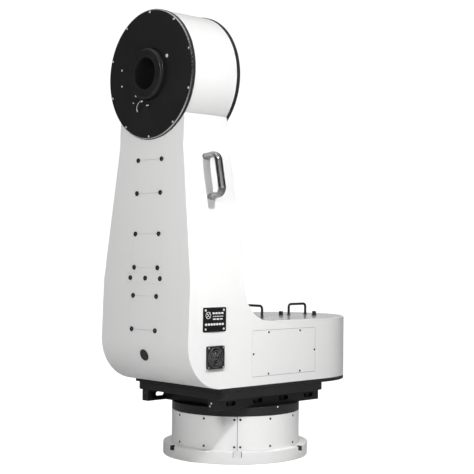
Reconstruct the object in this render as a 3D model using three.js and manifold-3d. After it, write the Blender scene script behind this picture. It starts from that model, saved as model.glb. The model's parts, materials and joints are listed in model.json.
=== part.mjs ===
// A single-arm direct-drive telescope mount, standing in its alt-azimuth position.
// Millimetres, +Z up. The origin is on the floor, on the azimuth axis.
// +X runs from the arm over the electronics box; the altitude axis is parallel to X.
import * as THREE from 'three';
import { mergeVertices } from 'three/addons/utils/BufferGeometryUtils.js';
import Module from 'manifold-3d';

const wasm = await Module();
wasm.setup();

// ---------------------------------------------------------------- driving dimensions
const FIT = 0.3; // gap left between two pieces that touch on the real mount
const RUN = 2; // gap left between two pieces that turn past each other
const FINE = 56; // facets round a large visible cylinder
const COARSE = 24; // facets round an inner cylinder
const SMALL = 16; // facets round a hole, pin or knob

// base and azimuth stack, from the floor up
const DRUM_R = 250;
const FLANGE_R = 283;
const FLANGE_TOP = 47;
const DRUM_TOP = 174.5;
const RING_TOP = 207.5;
const FRAME_TOP = 250;
const DECK_TOP = 279;
const PAN_TOP = 293;
const SEAM_DEG = -132; // where the two drum covers meet
const NOTCH = { count: 6, width: 33, floor: 27, inner: 252, bolt: 7 };
const COVER_SHEET = 2.5;
const PEDESTAL = { inner: 205, outer: 222, top: 141.5, floor: 15 };

// L-shaped body
const BOX_TOP = 530;
const BODY_HALF = 249;
const NECK_HALF = 183;
const TAPER_LOW = 675;
const TAPER_HIGH = 1170;
const BOX_END_CX = 265; // centre of the rounded end
const SHELL = 6; // wall of the painted body
const HEEL = { x: -307, z: 458, r: 165 }; // fillet under the outer face
const THROAT = { x: -61, z: 665, r: 135 }; // fillet between arm and box
const OUTER_LEAN = 0.0386;
const INNER_LEAN = 0.035;
const NECK_X = -231;
const NECK_LOW = 1188;
const SHOULDER = 1110;

// head, on the altitude axis
const HEAD_Z = 1440;
const DISC_R = 240;
const HEAD_R = 238;
const DISC_FRONT = -454;
const DISC_BACK = -439;
const PLATE_FRONT = -232;
const PLATE_BACK = -220;
const HUB = { front: -478, nose: 88, base: 94 };
const BORE_R = 59.5;
const SHAFT_R = 72;
const SEAT_R = 85; // bearing, rotor and encoder seat on the shaft
const AIR_GAP_R = 160; // outside of both motor rotors
const HOUSING = { inner: 212, outer: 226, seat: 131, web: 25 };

// plates let into the body
const PANEL = { x0: -155, x1: 189, z0: 326, z1: 496, sheet: 3, ledge: 10 };
const REAR = { half: 82, sheet: 3, ledge: 8, spans: [[1002, 1125], [728, 852], [500, 624]] };
const STRIP = { half: 104, z0: 670, z1: 708 };
const PLUG = { r: 22, drop: 50 };
const PLATE = { x0: -403, x1: -291, z0: 501, z1: 589, sheet: 2 };
const FAN = { x: -344.5, z: 409.5, size: 80, hole: 37, depth: 25, proud: 10 };
const LID = { x0: -44, sheet: 4, ledge: 10 };

// handles
const GRAB = {
  x: -334, zLow: 988, zHigh: 1135, halfWide: 17, halfThick: 10.8, standoff: 63, bend: 27, lean: -3.44,
};
const WIRE = { r: 5, height: 44, span: 100, bend: 12 };
const WIRE_A = { x: 350, y: 0 };
const WIRE_B = { x: 94, y: 0 };
const KNOBS = [{ name: 'lid_knob_inner', x: 254, y: 0 }, { name: 'lid_knob_outer', x: 372, y: -76 }];

// turntable frame under the deck
const FRAME = { x0: -304, x1: 256, half: 207, rail: 34, cross: -213 };
const SLOTS = { x: [-222, -82, 58, 198], length: 50, height: 17, z: 229, depth: 15 };
const SLOT_BACK = { before: 56, after: 17, half: 15 }; // relief behind the open slot
const DECK = { x0: -304, x1: 252, half: 250, corner: 38 };

// ---------------------------------------------------------------- solids
function toManifold(geometry) {
  const bare = geometry.clone();
  bare.deleteAttribute('normal');
  bare.deleteAttribute('uv');
  const welded = mergeVertices(bare, 1e-4);
  const mesh = new wasm.Mesh({
    numProp: 3,
    vertProperties: new Float32Array(welded.attributes.position.array),
    triVerts: new Uint32Array(welded.index.array),
  });
  return new wasm.Manifold(mesh);
}

function toGeometry(solid) {
  const mesh = solid.getMesh();
  const geometry = new THREE.BufferGeometry();
  geometry.setAttribute('position', new THREE.BufferAttribute(mesh.vertProperties, 3));
  geometry.setIndex(new THREE.BufferAttribute(mesh.triVerts, 1));
  return geometry;
}

function signedVolume(geometry) {
  const p = geometry.attributes.position;
  const index = geometry.index;
  const [a, b, c] = [new THREE.Vector3(), new THREE.Vector3(), new THREE.Vector3()];
  let sum = 0;
  for (let i = 0; i < index.count; i += 3) {
    a.fromBufferAttribute(p, index.getX(i));
    b.fromBufferAttribute(p, index.getX(i + 1));
    c.fromBufferAttribute(p, index.getX(i + 2));
    sum += a.dot(b.cross(c));
  }
  return sum / 6;
}

// Turns a geometry inside out when its faces point inwards.
function facingOut(geometry) {
  const welded = geometry.index ? geometry : mergeVertices(geometry);
  if (signedVolume(welded) < 0) {
    const index = welded.index.array;
    for (let i = 0; i < index.length; i += 3) {
      [index[i], index[i + 1]] = [index[i + 1], index[i]];
    }
  }
  return welded;
}

function box(x0, x1, y0, y1, z0, z1) {
  const geometry = new THREE.BoxGeometry(x1 - x0, y1 - y0, z1 - z0);
  geometry.translate((x0 + x1) / 2, (y0 + y1) / 2, (z0 + z1) / 2);
  return toManifold(geometry);
}

// A solid of revolution about Z from [radius, height] points.
function turned(points, segments) {
  const profile = points.map(([r, h]) => new THREE.Vector2(r, h));
  const geometry = new THREE.LatheGeometry(profile, segments);
  geometry.rotateX(Math.PI / 2);
  return facingOut(mergeVertices(dropExtras(geometry), 1e-4));
}

function dropExtras(geometry) {
  geometry.deleteAttribute('normal');
  geometry.deleteAttribute('uv');
  return geometry;
}

function closedLoop(points) {
  return [...points, points[0]];
}

function ringZ(r0, r1, z0, z1, segments = COARSE) {
  return toManifold(turned(closedLoop([[r0, z0], [r1, z0], [r1, z1], [r0, z1]]), segments));
}

function rodZ(r, z0, z1, segments = SMALL) {
  return toManifold(turned([[0, z0], [r, z0], [r, z1], [0, z1]], segments));
}

// Points given as [radius, x] are turned about the altitude axis.
function turnedX(points, segments) {
  const geometry = turned(points, segments);
  geometry.rotateY(Math.PI / 2);
  geometry.translate(0, 0, HEAD_Z);
  return toManifold(geometry);
}

function ringX(r0, r1, x0, x1, segments = COARSE) {
  return turnedX(closedLoop([[r0, x0], [r1, x0], [r1, x1], [r0, x1]]), segments);
}

function rodX(r, x0, x1, segments = COARSE) {
  return turnedX([[0, x0], [r, x0], [r, x1], [0, x1]], segments);
}

// A rod along X away from the altitude axis.
function pinX(r, x0, x1, y, z, segments = SMALL) {
  return rodX(r, x0, x1, segments).translate([0, y, z - HEAD_Z]);
}

function rodY(r, y0, y1, x, z, segments = SMALL) {
  const geometry = turned([[0, -y1], [r, -y1], [r, -y0], [0, -y0]], segments);
  geometry.rotateX(Math.PI / 2);
  geometry.translate(x, 0, z);
  return toManifold(geometry);
}

function extrude(shape, depth, curveSegments = 12) {
  const options = { depth, bevelEnabled: false, curveSegments, steps: 1 };
  return dropExtras(new THREE.ExtrudeGeometry(shape, options));
}

const BASIS_X = new THREE.Matrix4().makeBasis(
  new THREE.Vector3(0, 1, 0), new THREE.Vector3(0, 0, 1), new THREE.Vector3(1, 0, 0));
const BASIS_Y = new THREE.Matrix4().makeBasis(
  new THREE.Vector3(1, 0, 0), new THREE.Vector3(0, 0, 1), new THREE.Vector3(0, -1, 0));

function prismX(shape, x0, x1, curveSegments) {
  const geometry = extrude(shape, x1 - x0, curveSegments);
  geometry.applyMatrix4(BASIS_X);
  geometry.translate(x0, 0, 0);
  return toManifold(geometry);
}

function prismY(shape, y0, y1, curveSegments) {
  const geometry = extrude(shape, y1 - y0, curveSegments);
  geometry.applyMatrix4(BASIS_Y);
  geometry.translate(0, y1, 0);
  return toManifold(geometry);
}

function prismZ(shape, z0, z1, curveSegments) {
  const geometry = extrude(shape, z1 - z0, curveSegments);
  geometry.translate(0, 0, z0);
  return toManifold(geometry);
}

function outline(points) {
  return new THREE.Shape(points.map(([x, y]) => new THREE.Vector2(x, y)));
}

function radians(degrees) {
  return (degrees * Math.PI) / 180;
}

function sum(parts) {
  return parts.reduce((whole, part) => whole.add(part));
}

function without(solid, cuts) {
  return cuts.reduce((rest, cut) => rest.subtract(cut), solid);
}

// A round bar bent along a polyline with rounded corners.
function bentBar(points, bend, r, steps, facets) {
  const path = new THREE.CurvePath();
  let from = points[0];
  for (let i = 1; i < points.length - 1; i += 1) {
    const corner = points[i];
    const before = corner.clone().sub(points[i - 1]).setLength(bend);
    const after = points[i + 1].clone().sub(corner).setLength(bend);
    const start = corner.clone().sub(before);
    const end = corner.clone().add(after);
    path.add(new THREE.LineCurve3(from, start));
    path.add(new THREE.QuadraticBezierCurve3(start, corner, end));
    from = end;
  }
  path.add(new THREE.LineCurve3(from, points[points.length - 1]));
  const circle = new THREE.Shape().absarc(0, 0, r, 0, 2 * Math.PI);
  const options = { steps, extrudePath: path, curveSegments: facets, bevelEnabled: false };
  const geometry = dropExtras(new THREE.ExtrudeGeometry(circle, options));
  return toManifold(facingOut(mergeVertices(geometry, 1e-4)));
}

// ---------------------------------------------------------------- body outlines
function outerX(z) {
  return -472.2 + OUTER_LEAN * (z - HEEL.z);
}

function innerX(z) {
  return THROAT.x - THROAT.r - INNER_LEAN * (z - THROAT.z);
}

function halfWidth(z) {
  const t = THREE.MathUtils.clamp((z - TAPER_LOW) / (TAPER_HIGH - TAPER_LOW), 0, 1);
  return BODY_HALF + t * (NECK_HALF - BODY_HALF);
}

// Side view of the L, moved in by inset on every side.
function sideOutline(inset) {
  const top = HEAD_Z;
  const shape = new THREE.Shape();
  shape.moveTo(outerX(top) + inset, top);
  shape.lineTo(outerX(HEEL.z) + inset, HEEL.z);
  shape.absarc(HEEL.x, HEEL.z, HEEL.r - inset, Math.PI, 1.5 * Math.PI, false);
  shape.lineTo(BOX_END_CX + BODY_HALF, PAN_TOP + inset);
  shape.lineTo(BOX_END_CX + BODY_HALF, BOX_TOP - inset);
  shape.lineTo(THROAT.x, BOX_TOP - inset);
  shape.absarc(THROAT.x, THROAT.z, THROAT.r + inset, 1.5 * Math.PI, Math.PI, true);
  shape.lineTo(innerX(SHOULDER) - inset, SHOULDER);
  shape.lineTo(NECK_X - inset, NECK_LOW);
  shape.lineTo(NECK_X - inset, top);
  return shape;
}

// Front view of the L: full width below, narrow neck above.
function frontOutline(inset) {
  const wide = BODY_HALF - inset;
  const narrow = NECK_HALF - inset;
  return outline([[-wide, 0], [wide, 0], [wide, TAPER_LOW], [narrow, TAPER_HIGH],
    [narrow, HEAD_Z + 1], [-narrow, HEAD_Z + 1], [-narrow, TAPER_HIGH], [-wide, TAPER_LOW]]);
}

// Plan view with one rounded end, from x0 to the end of the box.
function planOutline(x0, inset) {
  const half = BODY_HALF - inset;
  const shape = new THREE.Shape();
  shape.moveTo(x0, -half);
  shape.lineTo(BOX_END_CX, -half);
  shape.absarc(BOX_END_CX, 0, half, -Math.PI / 2, Math.PI / 2, false);
  shape.lineTo(x0, half);
  return shape;
}

function bodySolid(inset) {
  const reach = BODY_HALF + 10;
  const side = prismY(sideOutline(inset), -reach, reach, 10);
  const front = prismX(frontOutline(inset), -500, 520);
  const plan = prismZ(planOutline(-500, inset), 200, HEAD_Z + 1, 20);
  return side.intersect(front).intersect(plan);
}

// ---------------------------------------------------------------- base, fixed to the pier
function notchCuts() {
  const cuts = [];
  for (let i = 0; i < NOTCH.count; i += 1) {
    const turn = SEAM_DEG + (360 / NOTCH.count) * i;
    const half = NOTCH.width / 2;
    const pocket = box(NOTCH.inner, FLANGE_R + 5, -half, half, NOTCH.floor, FLANGE_TOP + 5);
    const hole = rodZ(NOTCH.bolt, -5, FLANGE_TOP, 12).translate([NOTCH.inner + 16, 0, 0]);
    cuts.push(pocket.add(hole).rotate([0, 0, turn]));
  }
  return cuts;
}

// Round plate that stands on the pier, with a raised rim.
function baseFlange() {
  const profile = [[0, 0], [FLANGE_R, 0], [FLANGE_R, FLANGE_TOP], [PEDESTAL.inner, FLANGE_TOP],
    [PEDESTAL.inner, PEDESTAL.floor], [0, PEDESTAL.floor]];
  return without(toManifold(turned(profile, FINE)), notchCuts());
}

function pedestalTube() {
  return ringZ(PEDESTAL.inner, PEDESTAL.outer, FLANGE_TOP + FIT, PEDESTAL.top, FINE);
}

function halfDrumCover(index) {
  const gap = 0.1;
  const start = radians(SEAM_DEG + 180 * index + gap);
  const end = radians(SEAM_DEG + 180 * (index + 1) - gap);
  const shape = new THREE.Shape();
  shape.absarc(0, 0, DRUM_R, start, end, false);
  shape.absarc(0, 0, DRUM_R - COVER_SHEET, end, start, true);
  return prismZ(shape, FLANGE_TOP + FIT, DRUM_TOP - 1, 28);
}

// Top edge that the drum covers are screwed to.
function drumCoverHoop() {
  const outer = DRUM_R - COVER_SHEET - 1.5;
  return ringZ(PEDESTAL.outer + FIT, outer, 120, 140, FINE);
}

function azimuthOuterRace() {
  return ringZ(PEDESTAL.inner, 232, PEDESTAL.top + FIT, 172, FINE);
}

function azimuthRollerRing() {
  const mid = (PEDESTAL.top + 172) / 2;
  const loop = [[193.5, mid - 5], [199, mid - 8], [203.5, mid - 5], [203.5, mid + 5],
    [199, mid + 8], [193.5, mid + 5]];
  return toManifold(turned(closedLoop(loop), FINE));
}

function azimuthInnerRace() {
  return ringZ(166, 192, PEDESTAL.top + 1.5, DRUM_TOP, FINE);
}

function azimuthStator() {
  return ringZ(AIR_GAP_R + RUN, PEDESTAL.inner - FIT, 68, 108);
}

// Magnet rim, web and hub of a motor rotor, as a [radius, height] loop.
function rotorLoop(bore, start, length) {
  const end = start + length;
  const mid = start + length / 2;
  return closedLoop([[bore, start], [bore + 10, start], [bore + 10, mid - 6],
    [AIR_GAP_R - 16, mid - 6], [AIR_GAP_R - 16, start], [AIR_GAP_R, start], [AIR_GAP_R, end],
    [AIR_GAP_R - 16, end], [AIR_GAP_R - 16, mid + 6], [bore + 10, mid + 6], [bore + 10, end],
    [bore, end]]);
}

function azimuthRotor() {
  return toManifold(turned(rotorLoop(80 + FIT, 63, 50), COARSE));
}

function azimuthSpindle() {
  const loop = [[60, 45], [80, 45], [80, 160], [164, 160], [164, DRUM_TOP], [60, DRUM_TOP]];
  return toManifold(turned(closedLoop(loop), COARSE));
}

function azimuthEncoderRing() {
  return ringZ(80 + FIT, 104, 126, 132);
}

function azimuthReadhead() {
  const arm = box(106, 200, -14, 14, 116, 124);
  const head = box(88, 112, -12, 12, 116, 124.5);
  return arm.add(head);
}

// ---------------------------------------------------------------- turntable
function azimuthRing() {
  return ringZ(150, DRUM_R, DRUM_TOP + FIT, RING_TOP, FINE);
}

function slotOutline(x) {
  const r = SLOTS.height / 2;
  const straight = SLOTS.length / 2 - r;
  const shape = new THREE.Shape();
  shape.absarc(x + straight, SLOTS.z, r, -Math.PI / 2, Math.PI / 2, false);
  shape.absarc(x - straight, SLOTS.z, r, Math.PI / 2, 1.5 * Math.PI, false);
  return shape;
}

// A recess for a bolt head in the outer face of one rail; side is +1 or -1.
function slotRecess(x, side) {
  const ends = [side * (FRAME.half - SLOTS.depth), side * (FRAME.half + 5)].sort((a, b) => a - b);
  return prismY(slotOutline(x), ends[0], ends[1], 5);
}

// The slot without a bolt goes right through, with a wider relief on the inside of its rail.
function openSlotBack(x) {
  return box(x - SLOT_BACK.before, x + SLOT_BACK.after, FRAME.half - FRAME.rail - 0.5,
    FRAME.half - SLOTS.depth + 0.5, SLOTS.z - SLOT_BACK.half, SLOTS.z + SLOT_BACK.half);
}

// Two slotted rails joined by two cross members.
function turntableFrame() {
  const low = RING_TOP + FIT;
  const inner = FRAME.half - FRAME.rail;
  const railLeft = box(FRAME.x0, FRAME.x1, inner, FRAME.half, low, FRAME_TOP);
  const railRight = box(FRAME.x0, FRAME.x1, -FRAME.half, -inner, low, FRAME_TOP);
  const lap = inner + 5;
  const rear = box(FRAME.cross, FRAME.cross + 90, -lap, lap, low, FRAME_TOP);
  const front = box(75, 165, -lap, lap, low, FRAME_TOP);
  const slots = SLOTS.x.flatMap((x) => [slotRecess(x, -1), slotRecess(x, 1)]);
  return without(sum([railLeft, railRight, rear, front]), [...slots, openSlotBack(SLOTS.x[0])]);
}

function roundedDeck(z0, z1) {
  const { x0, x1, half, corner } = DECK;
  const shape = new THREE.Shape();
  shape.absarc(x1 - corner, half - corner, corner, 0, Math.PI / 2, false);
  shape.absarc(x0 + corner, half - corner, corner, Math.PI / 2, Math.PI, false);
  shape.absarc(x0 + corner, corner - half, corner, Math.PI, 1.5 * Math.PI, false);
  shape.absarc(x1 - corner, corner - half, corner, 1.5 * Math.PI, 2 * Math.PI, false);
  return prismZ(shape, z0, z1, 6);
}

function deckPlate() {
  return roundedDeck(FRAME_TOP + FIT, DECK_TOP);
}

function panPlate() {
  return prismZ(planOutline(DECK.x0, 0), DECK_TOP + FIT, PAN_TOP, 24);
}

// ---------------------------------------------------------------- painted body
// Each opening is a sheet-deep recess with a smaller hole behind it.
function panelCut() {
  const y = -BODY_HALF;
  const { x0, x1, z0, z1, sheet, ledge } = PANEL;
  const recess = box(x0 - FIT, x1 + FIT, y - 1, y + sheet + FIT, z0 - FIT, z1 + FIT);
  const hole = box(x0 + ledge, x1 - ledge, y - 1, y + SHELL + 1, z0 + ledge, z1 - ledge);
  return recess.add(hole);
}

// Everything between two offsets of the leaning outer face.
function rearSlab(half, z0, z1, from, to) {
  const shape = outline([[outerX(z0) + from, z0], [outerX(z0) + to, z0],
    [outerX(z1) + to, z1], [outerX(z1) + from, z1]]);
  return prismY(shape, -half, half);
}

function rearCut(half, z0, z1) {
  const { sheet, ledge } = REAR;
  const recess = rearSlab(half + FIT, z0 - FIT, z1 + FIT, -2, sheet + FIT);
  const hole = rearSlab(half - ledge, z0 + ledge, z1 - ledge, -2, SHELL + 2);
  return recess.add(hole);
}

function plugSolid(r0, r1, depth0, depth1) {
  const angle = Math.asin(PLUG.drop / HEEL.r);
  const geometry = turned([[0, depth0], [r0, depth0], [r1, depth1], [0, depth1]], SMALL + 8);
  geometry.rotateY(-Math.PI / 2 - angle);
  return toManifold(geometry).translate([HEEL.x, 0, HEEL.z]);
}

function lidCut() {
  const recess = prismZ(planOutline(LID.x0 - FIT, SHELL - FIT), BOX_TOP - LID.sheet - FIT,
    BOX_TOP + 1, 20);
  const hole = prismZ(planOutline(LID.x0 + LID.ledge, SHELL + LID.ledge),
    BOX_TOP - SHELL - 1, BOX_TOP + 1, 20);
  return recess.add(hole);
}

function bodyShell() {
  const rim = 22;
  const bottom = prismZ(planOutline(HEEL.x + 10, rim), PAN_TOP - 1, PAN_TOP + SHELL + 1, 20);
  const head = rodX(HEAD_R + FIT, -520, 0, FINE);
  const discRoom = rodX(DISC_R + FIT, -520, DISC_BACK + FIT, FINE);
  const plateRoom = rodX(DISC_R + RUN, PLATE_FRONT - RUN, 0, FINE);
  const fanHole = rodY(FAN.hole, -BODY_HALF - 1, -BODY_HALF + SHELL + 1, FAN.x, FAN.z, 24);
  const plugHole = plugSolid(18, 18, HEEL.r - SHELL - 2, HEEL.r + 2);
  const rear = REAR.spans.map(([z0, z1]) => rearCut(REAR.half, z0, z1));
  const lift = bodySolid(0).intersect(box(-520, 520, -260, 260, PAN_TOP + FIT, HEAD_Z));
  return without(lift, [bodySolid(SHELL), bottom, head, discRoom, plateRoom, fanHole, plugHole, lidCut(),
    panelCut(), rearCut(STRIP.half, STRIP.z0, STRIP.z1), ...rear]);
}

function rearCover(index) {
  const [z0, z1] = REAR.spans[index];
  return rearSlab(REAR.half, z0, z1, 0, REAR.sheet);
}

function rearStrip() {
  return rearSlab(STRIP.half, STRIP.z0, STRIP.z1, 0, REAR.sheet);
}

function accessPanel() {
  const y = -BODY_HALF;
  return box(PANEL.x0, PANEL.x1, y, y + PANEL.sheet, PANEL.z0, PANEL.z1);
}

function cablePlug() {
  const stem = plugSolid(17, 17, HEEL.r - SHELL - 4, HEEL.r + 1);
  const cap = plugSolid(PLUG.r, PLUG.r - 3, HEEL.r + 0.8, HEEL.r + 4.5);
  return stem.add(cap);
}

function topLid() {
  const sheet = prismZ(planOutline(LID.x0, SHELL), BOX_TOP - LID.sheet, BOX_TOP, 20);
  return without(sheet, KNOBS.map(({ x, y }) => rodZ(4.2, 500, 560, 12).translate([x, y, 0])));
}

function lidKnob({ x, y }) {
  const profile = [[0, BOX_TOP - 12], [3.2, BOX_TOP - 12], [3.2, BOX_TOP + FIT],
    [9, BOX_TOP + FIT], [9, BOX_TOP + 5], [7.5, BOX_TOP + 6], [7.5, BOX_TOP + 16],
    [6.5, BOX_TOP + 17], [0, BOX_TOP + 17]];
  const slot = box(-1, 1, -10, 10, BOX_TOP + 15.5, BOX_TOP + 18);
  return toManifold(turned(profile, SMALL)).subtract(slot).translate([x, y, 0]);
}

function wireHandle({ x, y }, alongX) {
  const half = WIRE.span / 2;
  const step = alongX ? new THREE.Vector3(half, 0, 0) : new THREE.Vector3(0, half, 0);
  const foot = new THREE.Vector3(x, y, BOX_TOP + FIT);
  const top = new THREE.Vector3(x, y, BOX_TOP + WIRE.height);
  const corners = [foot.clone().sub(step), top.clone().sub(step), top.clone().add(step),
    foot.clone().add(step)];
  return bentBar(corners, WIRE.bend, WIRE.r, 24, 4);
}

// The grab handle stands square to the tapered side of the arm.
function grabHandle() {
  const slope = (BODY_HALF - NECK_HALF) / (TAPER_HIGH - TAPER_LOW);
  const normal = new THREE.Vector3(0, -1, slope).normalize();
  const feet = [GRAB.zLow, GRAB.zHigh].map((z) => new THREE.Vector3(0, -halfWidth(z), z));
  const [low, high] = feet.map((foot) => foot.clone().addScaledVector(normal, FIT));
  const [lowOut, highOut] = feet.map((foot) => foot.clone().addScaledVector(normal, GRAB.standoff));
  const middle = (GRAB.zLow + GRAB.zHigh) / 2;
  return bentBar([low, lowOut, highOut, high], GRAB.bend, GRAB.halfThick, 26, 6)
    .translate([0, 0, -middle])
    .scale([GRAB.halfWide / GRAB.halfThick, 1, 1])
    .rotate([0, GRAB.lean, 0])
    .translate([GRAB.x, 0, middle]);
}

function nameplate() {
  const y = -BODY_HALF - FIT;
  return box(PLATE.x0, PLATE.x1, y - PLATE.sheet, y, PLATE.z0, PLATE.z1);
}

// ---------------------------------------------------------------- cooling fan
function sectorHole(r0, r1, start, end) {
  const path = new THREE.Path();
  path.absarc(FAN.x, FAN.z, r0, start, end, false);
  path.absarc(FAN.x, FAN.z, r1, end, start, true);
  path.closePath();
  return path;
}

// Square bezel with rings and ribs over the fan.
function fanGuard() {
  const half = FAN.size / 2 + 1;
  const face = outline([[FAN.x - half, FAN.z - half], [FAN.x + half, FAN.z - half],
    [FAN.x + half, FAN.z + half], [FAN.x - half, FAN.z + half]]);
  const rings = [[6, 13], [16, 23], [26, 33]];
  for (const [r0, r1] of rings) {
    for (let i = 0; i < 4; i += 1) {
      const rib = 2.5 / r0;
      const start = radians(45 + 90 * i) + rib;
      face.holes.push(sectorHole(r0, r1, start, start + Math.PI / 2 - 2 * rib));
    }
  }
  const out = -BODY_HALF - FAN.proud;
  const grille = prismY(face, out, out + 3, 4);
  const rim = box(FAN.x - half, FAN.x + half, out + 2, -BODY_HALF - FIT,
    FAN.z - half, FAN.z + half);
  const well = rodY(FAN.hole, out + 1.9, -BODY_HALF + 1, FAN.x, FAN.z, 24);
  return grille.add(rim.subtract(well));
}

function fanFrame() {
  const half = FAN.size / 2;
  const y0 = -BODY_HALF + SHELL + FIT;
  const block = box(FAN.x - half, FAN.x + half, y0, y0 + FAN.depth, FAN.z - half, FAN.z + half);
  const bore = rodY(38, y0 - 1, y0 + FAN.depth + 1, FAN.x, FAN.z, 24);
  const back = y0 + FAN.depth;
  const hub = rodY(15, back - 4, back, FAN.x, FAN.z, 12);
  const struts = box(FAN.x - 39, FAN.x + 39, back - 4, back, FAN.z - 3, FAN.z + 3);
  return sum([block.subtract(bore), struts, hub]);
}

function fanRotor() {
  const y0 = -BODY_HALF + SHELL + FIT + 2;
  const hub = rodY(17, y0, y0 + 17, FAN.x, FAN.z, SMALL);
  const blades = [];
  for (let i = 0; i < 7; i += 1) {
    const blade = box(14, 35, 2, 15, -1, 1).rotate([25, 0, 0]).rotate([0, (360 / 7) * i, 0]);
    blades.push(blade.translate([FAN.x, y0, FAN.z]));
  }
  return sum([hub, ...blades]);
}

// ---------------------------------------------------------------- structure inside the arm
function armColumn() {
  const wall = 10;
  const low = PAN_TOP + 15;
  const outer = outline([[-150, low], [150, low], [120, 1250], [-120, 1250]]);
  const inner = outline([[-150 + wall, low - 1], [150 - wall, low - 1],
    [120 - wall, 1251], [-120 + wall, 1251]]);
  const tube = prismX(outer, -425, -250).subtract(prismX(inner, -425 + wall, -250 - wall));
  const foot = box(-290, 400, -170, 170, PAN_TOP + FIT, low + 1);
  const gusset = outline([[-255, low], [-25, low], [-252, 520]]);
  const gussets = [-110, 98].map((y) => prismY(gusset, y, y + wall));
  const sole = box(-425, -280, -150, 150, low - 1, low + 12);
  const whole = sum([tube, foot, sole, ...gussets]);
  return whole.intersect(bodySolid(SHELL + FIT).add(box(-290, 410, -180, 180, PAN_TOP, 320)))
    .subtract(rodX(HOUSING.outer + FIT, -500, 0));
}

function altitudeHousing() {
  const { inner, outer, seat, web } = HOUSING;
  const [x0, x1] = [DISC_BACK + 4, PLATE_FRONT - 6];
  const loop = [[seat, x0], [outer, x0], [outer, x1], [seat, x1], [seat, x1 - web],
    [inner, x1 - web], [inner, x0 + web], [seat, x0 + web]];
  return turnedX(closedLoop(loop), COARSE);
}

function headShell() {
  const skin = ringX(HEAD_R - 4, HEAD_R, DISC_BACK + FIT, PLATE_FRONT - RUN, FINE);
  const seam = HEAD_Z - Math.sqrt(HEAD_R ** 2 - NECK_HALF ** 2) + FIT;
  const below = box(-520, 0, -260, 260, seam - 300, seam);
  return skin.subtract(below);
}

function frontDisc() {
  const rim = 3;
  const loop = [[HUB.base + RUN, DISC_BACK], [DISC_R, DISC_BACK], [DISC_R, DISC_FRONT + rim],
    [DISC_R - rim, DISC_FRONT], [HUB.base + RUN, DISC_FRONT]];
  return turnedX(closedLoop(loop), FINE);
}

function cableClip() {
  const y = 60;
  const z = HEAD_Z - 108;
  const pad = box(DISC_FRONT - 4, DISC_FRONT - FIT, y - 20, y + 32, z - 26, z + 14);
  const bridge = box(DISC_FRONT - 12, DISC_FRONT - 4 + FIT, y - 8, y + 2, z - 26, z + 14);
  return pad.add(bridge);
}

function bearingOuter(x0) {
  return ringX(114, HOUSING.seat - FIT, x0, x0 + 24);
}

function bearingInner(x0) {
  return ringX(SEAT_R + FIT, 101, x0, x0 + 24);
}

function ballRing(x0) {
  const mid = x0 + 12;
  const loop = [[102.5, mid - 4], [107.5, mid - 7], [112.5, mid - 4], [112.5, mid + 4],
    [107.5, mid + 7], [102.5, mid + 4]];
  return turnedX(closedLoop(loop), COARSE);
}

const BEARING_X = { front: DISC_BACK + 4.5, rear: PLATE_FRONT - 30.5 };

function altitudeStator() {
  return ringX(AIR_GAP_R + RUN, HOUSING.inner - FIT, -361, -321);
}

function altitudeReadhead() {
  return box(-402, -394, -12, 12, HEAD_Z - 200, HEAD_Z - 98)
    .add(box(-402, -388, -12, 12, HEAD_Z - 125, HEAD_Z - 113));
}

// ---------------------------------------------------------------- altitude group
function altitudeShaft() {
  const loop = [[BORE_R, HUB.front + 8], [SHAFT_R, HUB.front + 8], [SHAFT_R, DISC_BACK],
    [SEAT_R, DISC_BACK], [SEAT_R, PLATE_FRONT - FIT], [BORE_R, PLATE_FRONT - FIT]];
  return turnedX(closedLoop(loop), COARSE);
}

function altitudeHub() {
  const chamfer = 6;
  const loop = [[BORE_R, HUB.front], [HUB.nose, HUB.front], [HUB.base, HUB.front + chamfer],
    [HUB.base, DISC_BACK - 1], [SHAFT_R + FIT, DISC_BACK - 1],
    [SHAFT_R + FIT, HUB.front + 8 - FIT], [BORE_R, HUB.front + 8 - FIT]];
  return turnedX(closedLoop(loop), FINE);
}

function altitudePlate() {
  const holes = [];
  for (let i = 0; i < 8; i += 1) {
    const angle = radians(22.5 + 45 * i);
    const r = 200;
    holes.push(pinX(5, PLATE_FRONT - 1, PLATE_BACK + 1, r * Math.cos(angle),
      HEAD_Z + r * Math.sin(angle), 10));
  }
  return without(ringX(BORE_R, DISC_R, PLATE_FRONT, PLATE_BACK, FINE), holes);
}

function altitudeRotor() {
  return turnedX(rotorLoop(SEAT_R + FIT, -366, 50), COARSE);
}

function altitudeEncoderRing() {
  return ringX(SEAT_R + FIT, 110, -386, -380);
}

// ---------------------------------------------------------------- electronics in the box
function controllerBoard() {
  const z = 330;
  const board = box(0, 180, -200, -80, z, z + 2);
  const chips = [[20, 50, -180, -150, 6], [70, 110, -170, -130, 4], [130, 170, -190, -160, 16],
    [20, 60, -120, -95, 20], [80, 100, -110, -90, 12], [120, 165, -125, -92, 9]];
  return sum([board, ...chips.map(([x0, x1, y0, y1, h]) => box(x0, x1, y0, y1, z, z + 2 + h))]);
}

function powerSupply() {
  const can = box(200, 400, -150, -40, 330, 380);
  const terminals = box(395, 415, -140, -50, 332, 350);
  return can.add(terminals);
}

function finnedDrive(x0, y0) {
  const fins = [box(x0, x0 + 150, y0, y0 + 90, 330, 344)];
  for (let i = 0; i < 8; i += 1) {
    fins.push(box(x0, x0 + 150, y0 + 12 * i, y0 + 12 * i + 4, 343, 372));
  }
  return sum(fins);
}

// Rails that carry the electronics above the foot plate.
function electronicsTray() {
  const low = PAN_TOP + 16 + FIT;
  const sheet = box(-20, 390, -205, 160, 324, 330 - FIT);
  const legs = [[10, 40, -150, -120], [10, 40, 110, 140], [360, 390, -150, -120],
    [360, 390, 110, 140]];
  return sum([sheet, ...legs.map(([x0, x1, y0, y1]) => box(x0, x1, y0, y1, low, 325))]);
}

// ---------------------------------------------------------------- assembly
const group = new THREE.Group();

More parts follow.
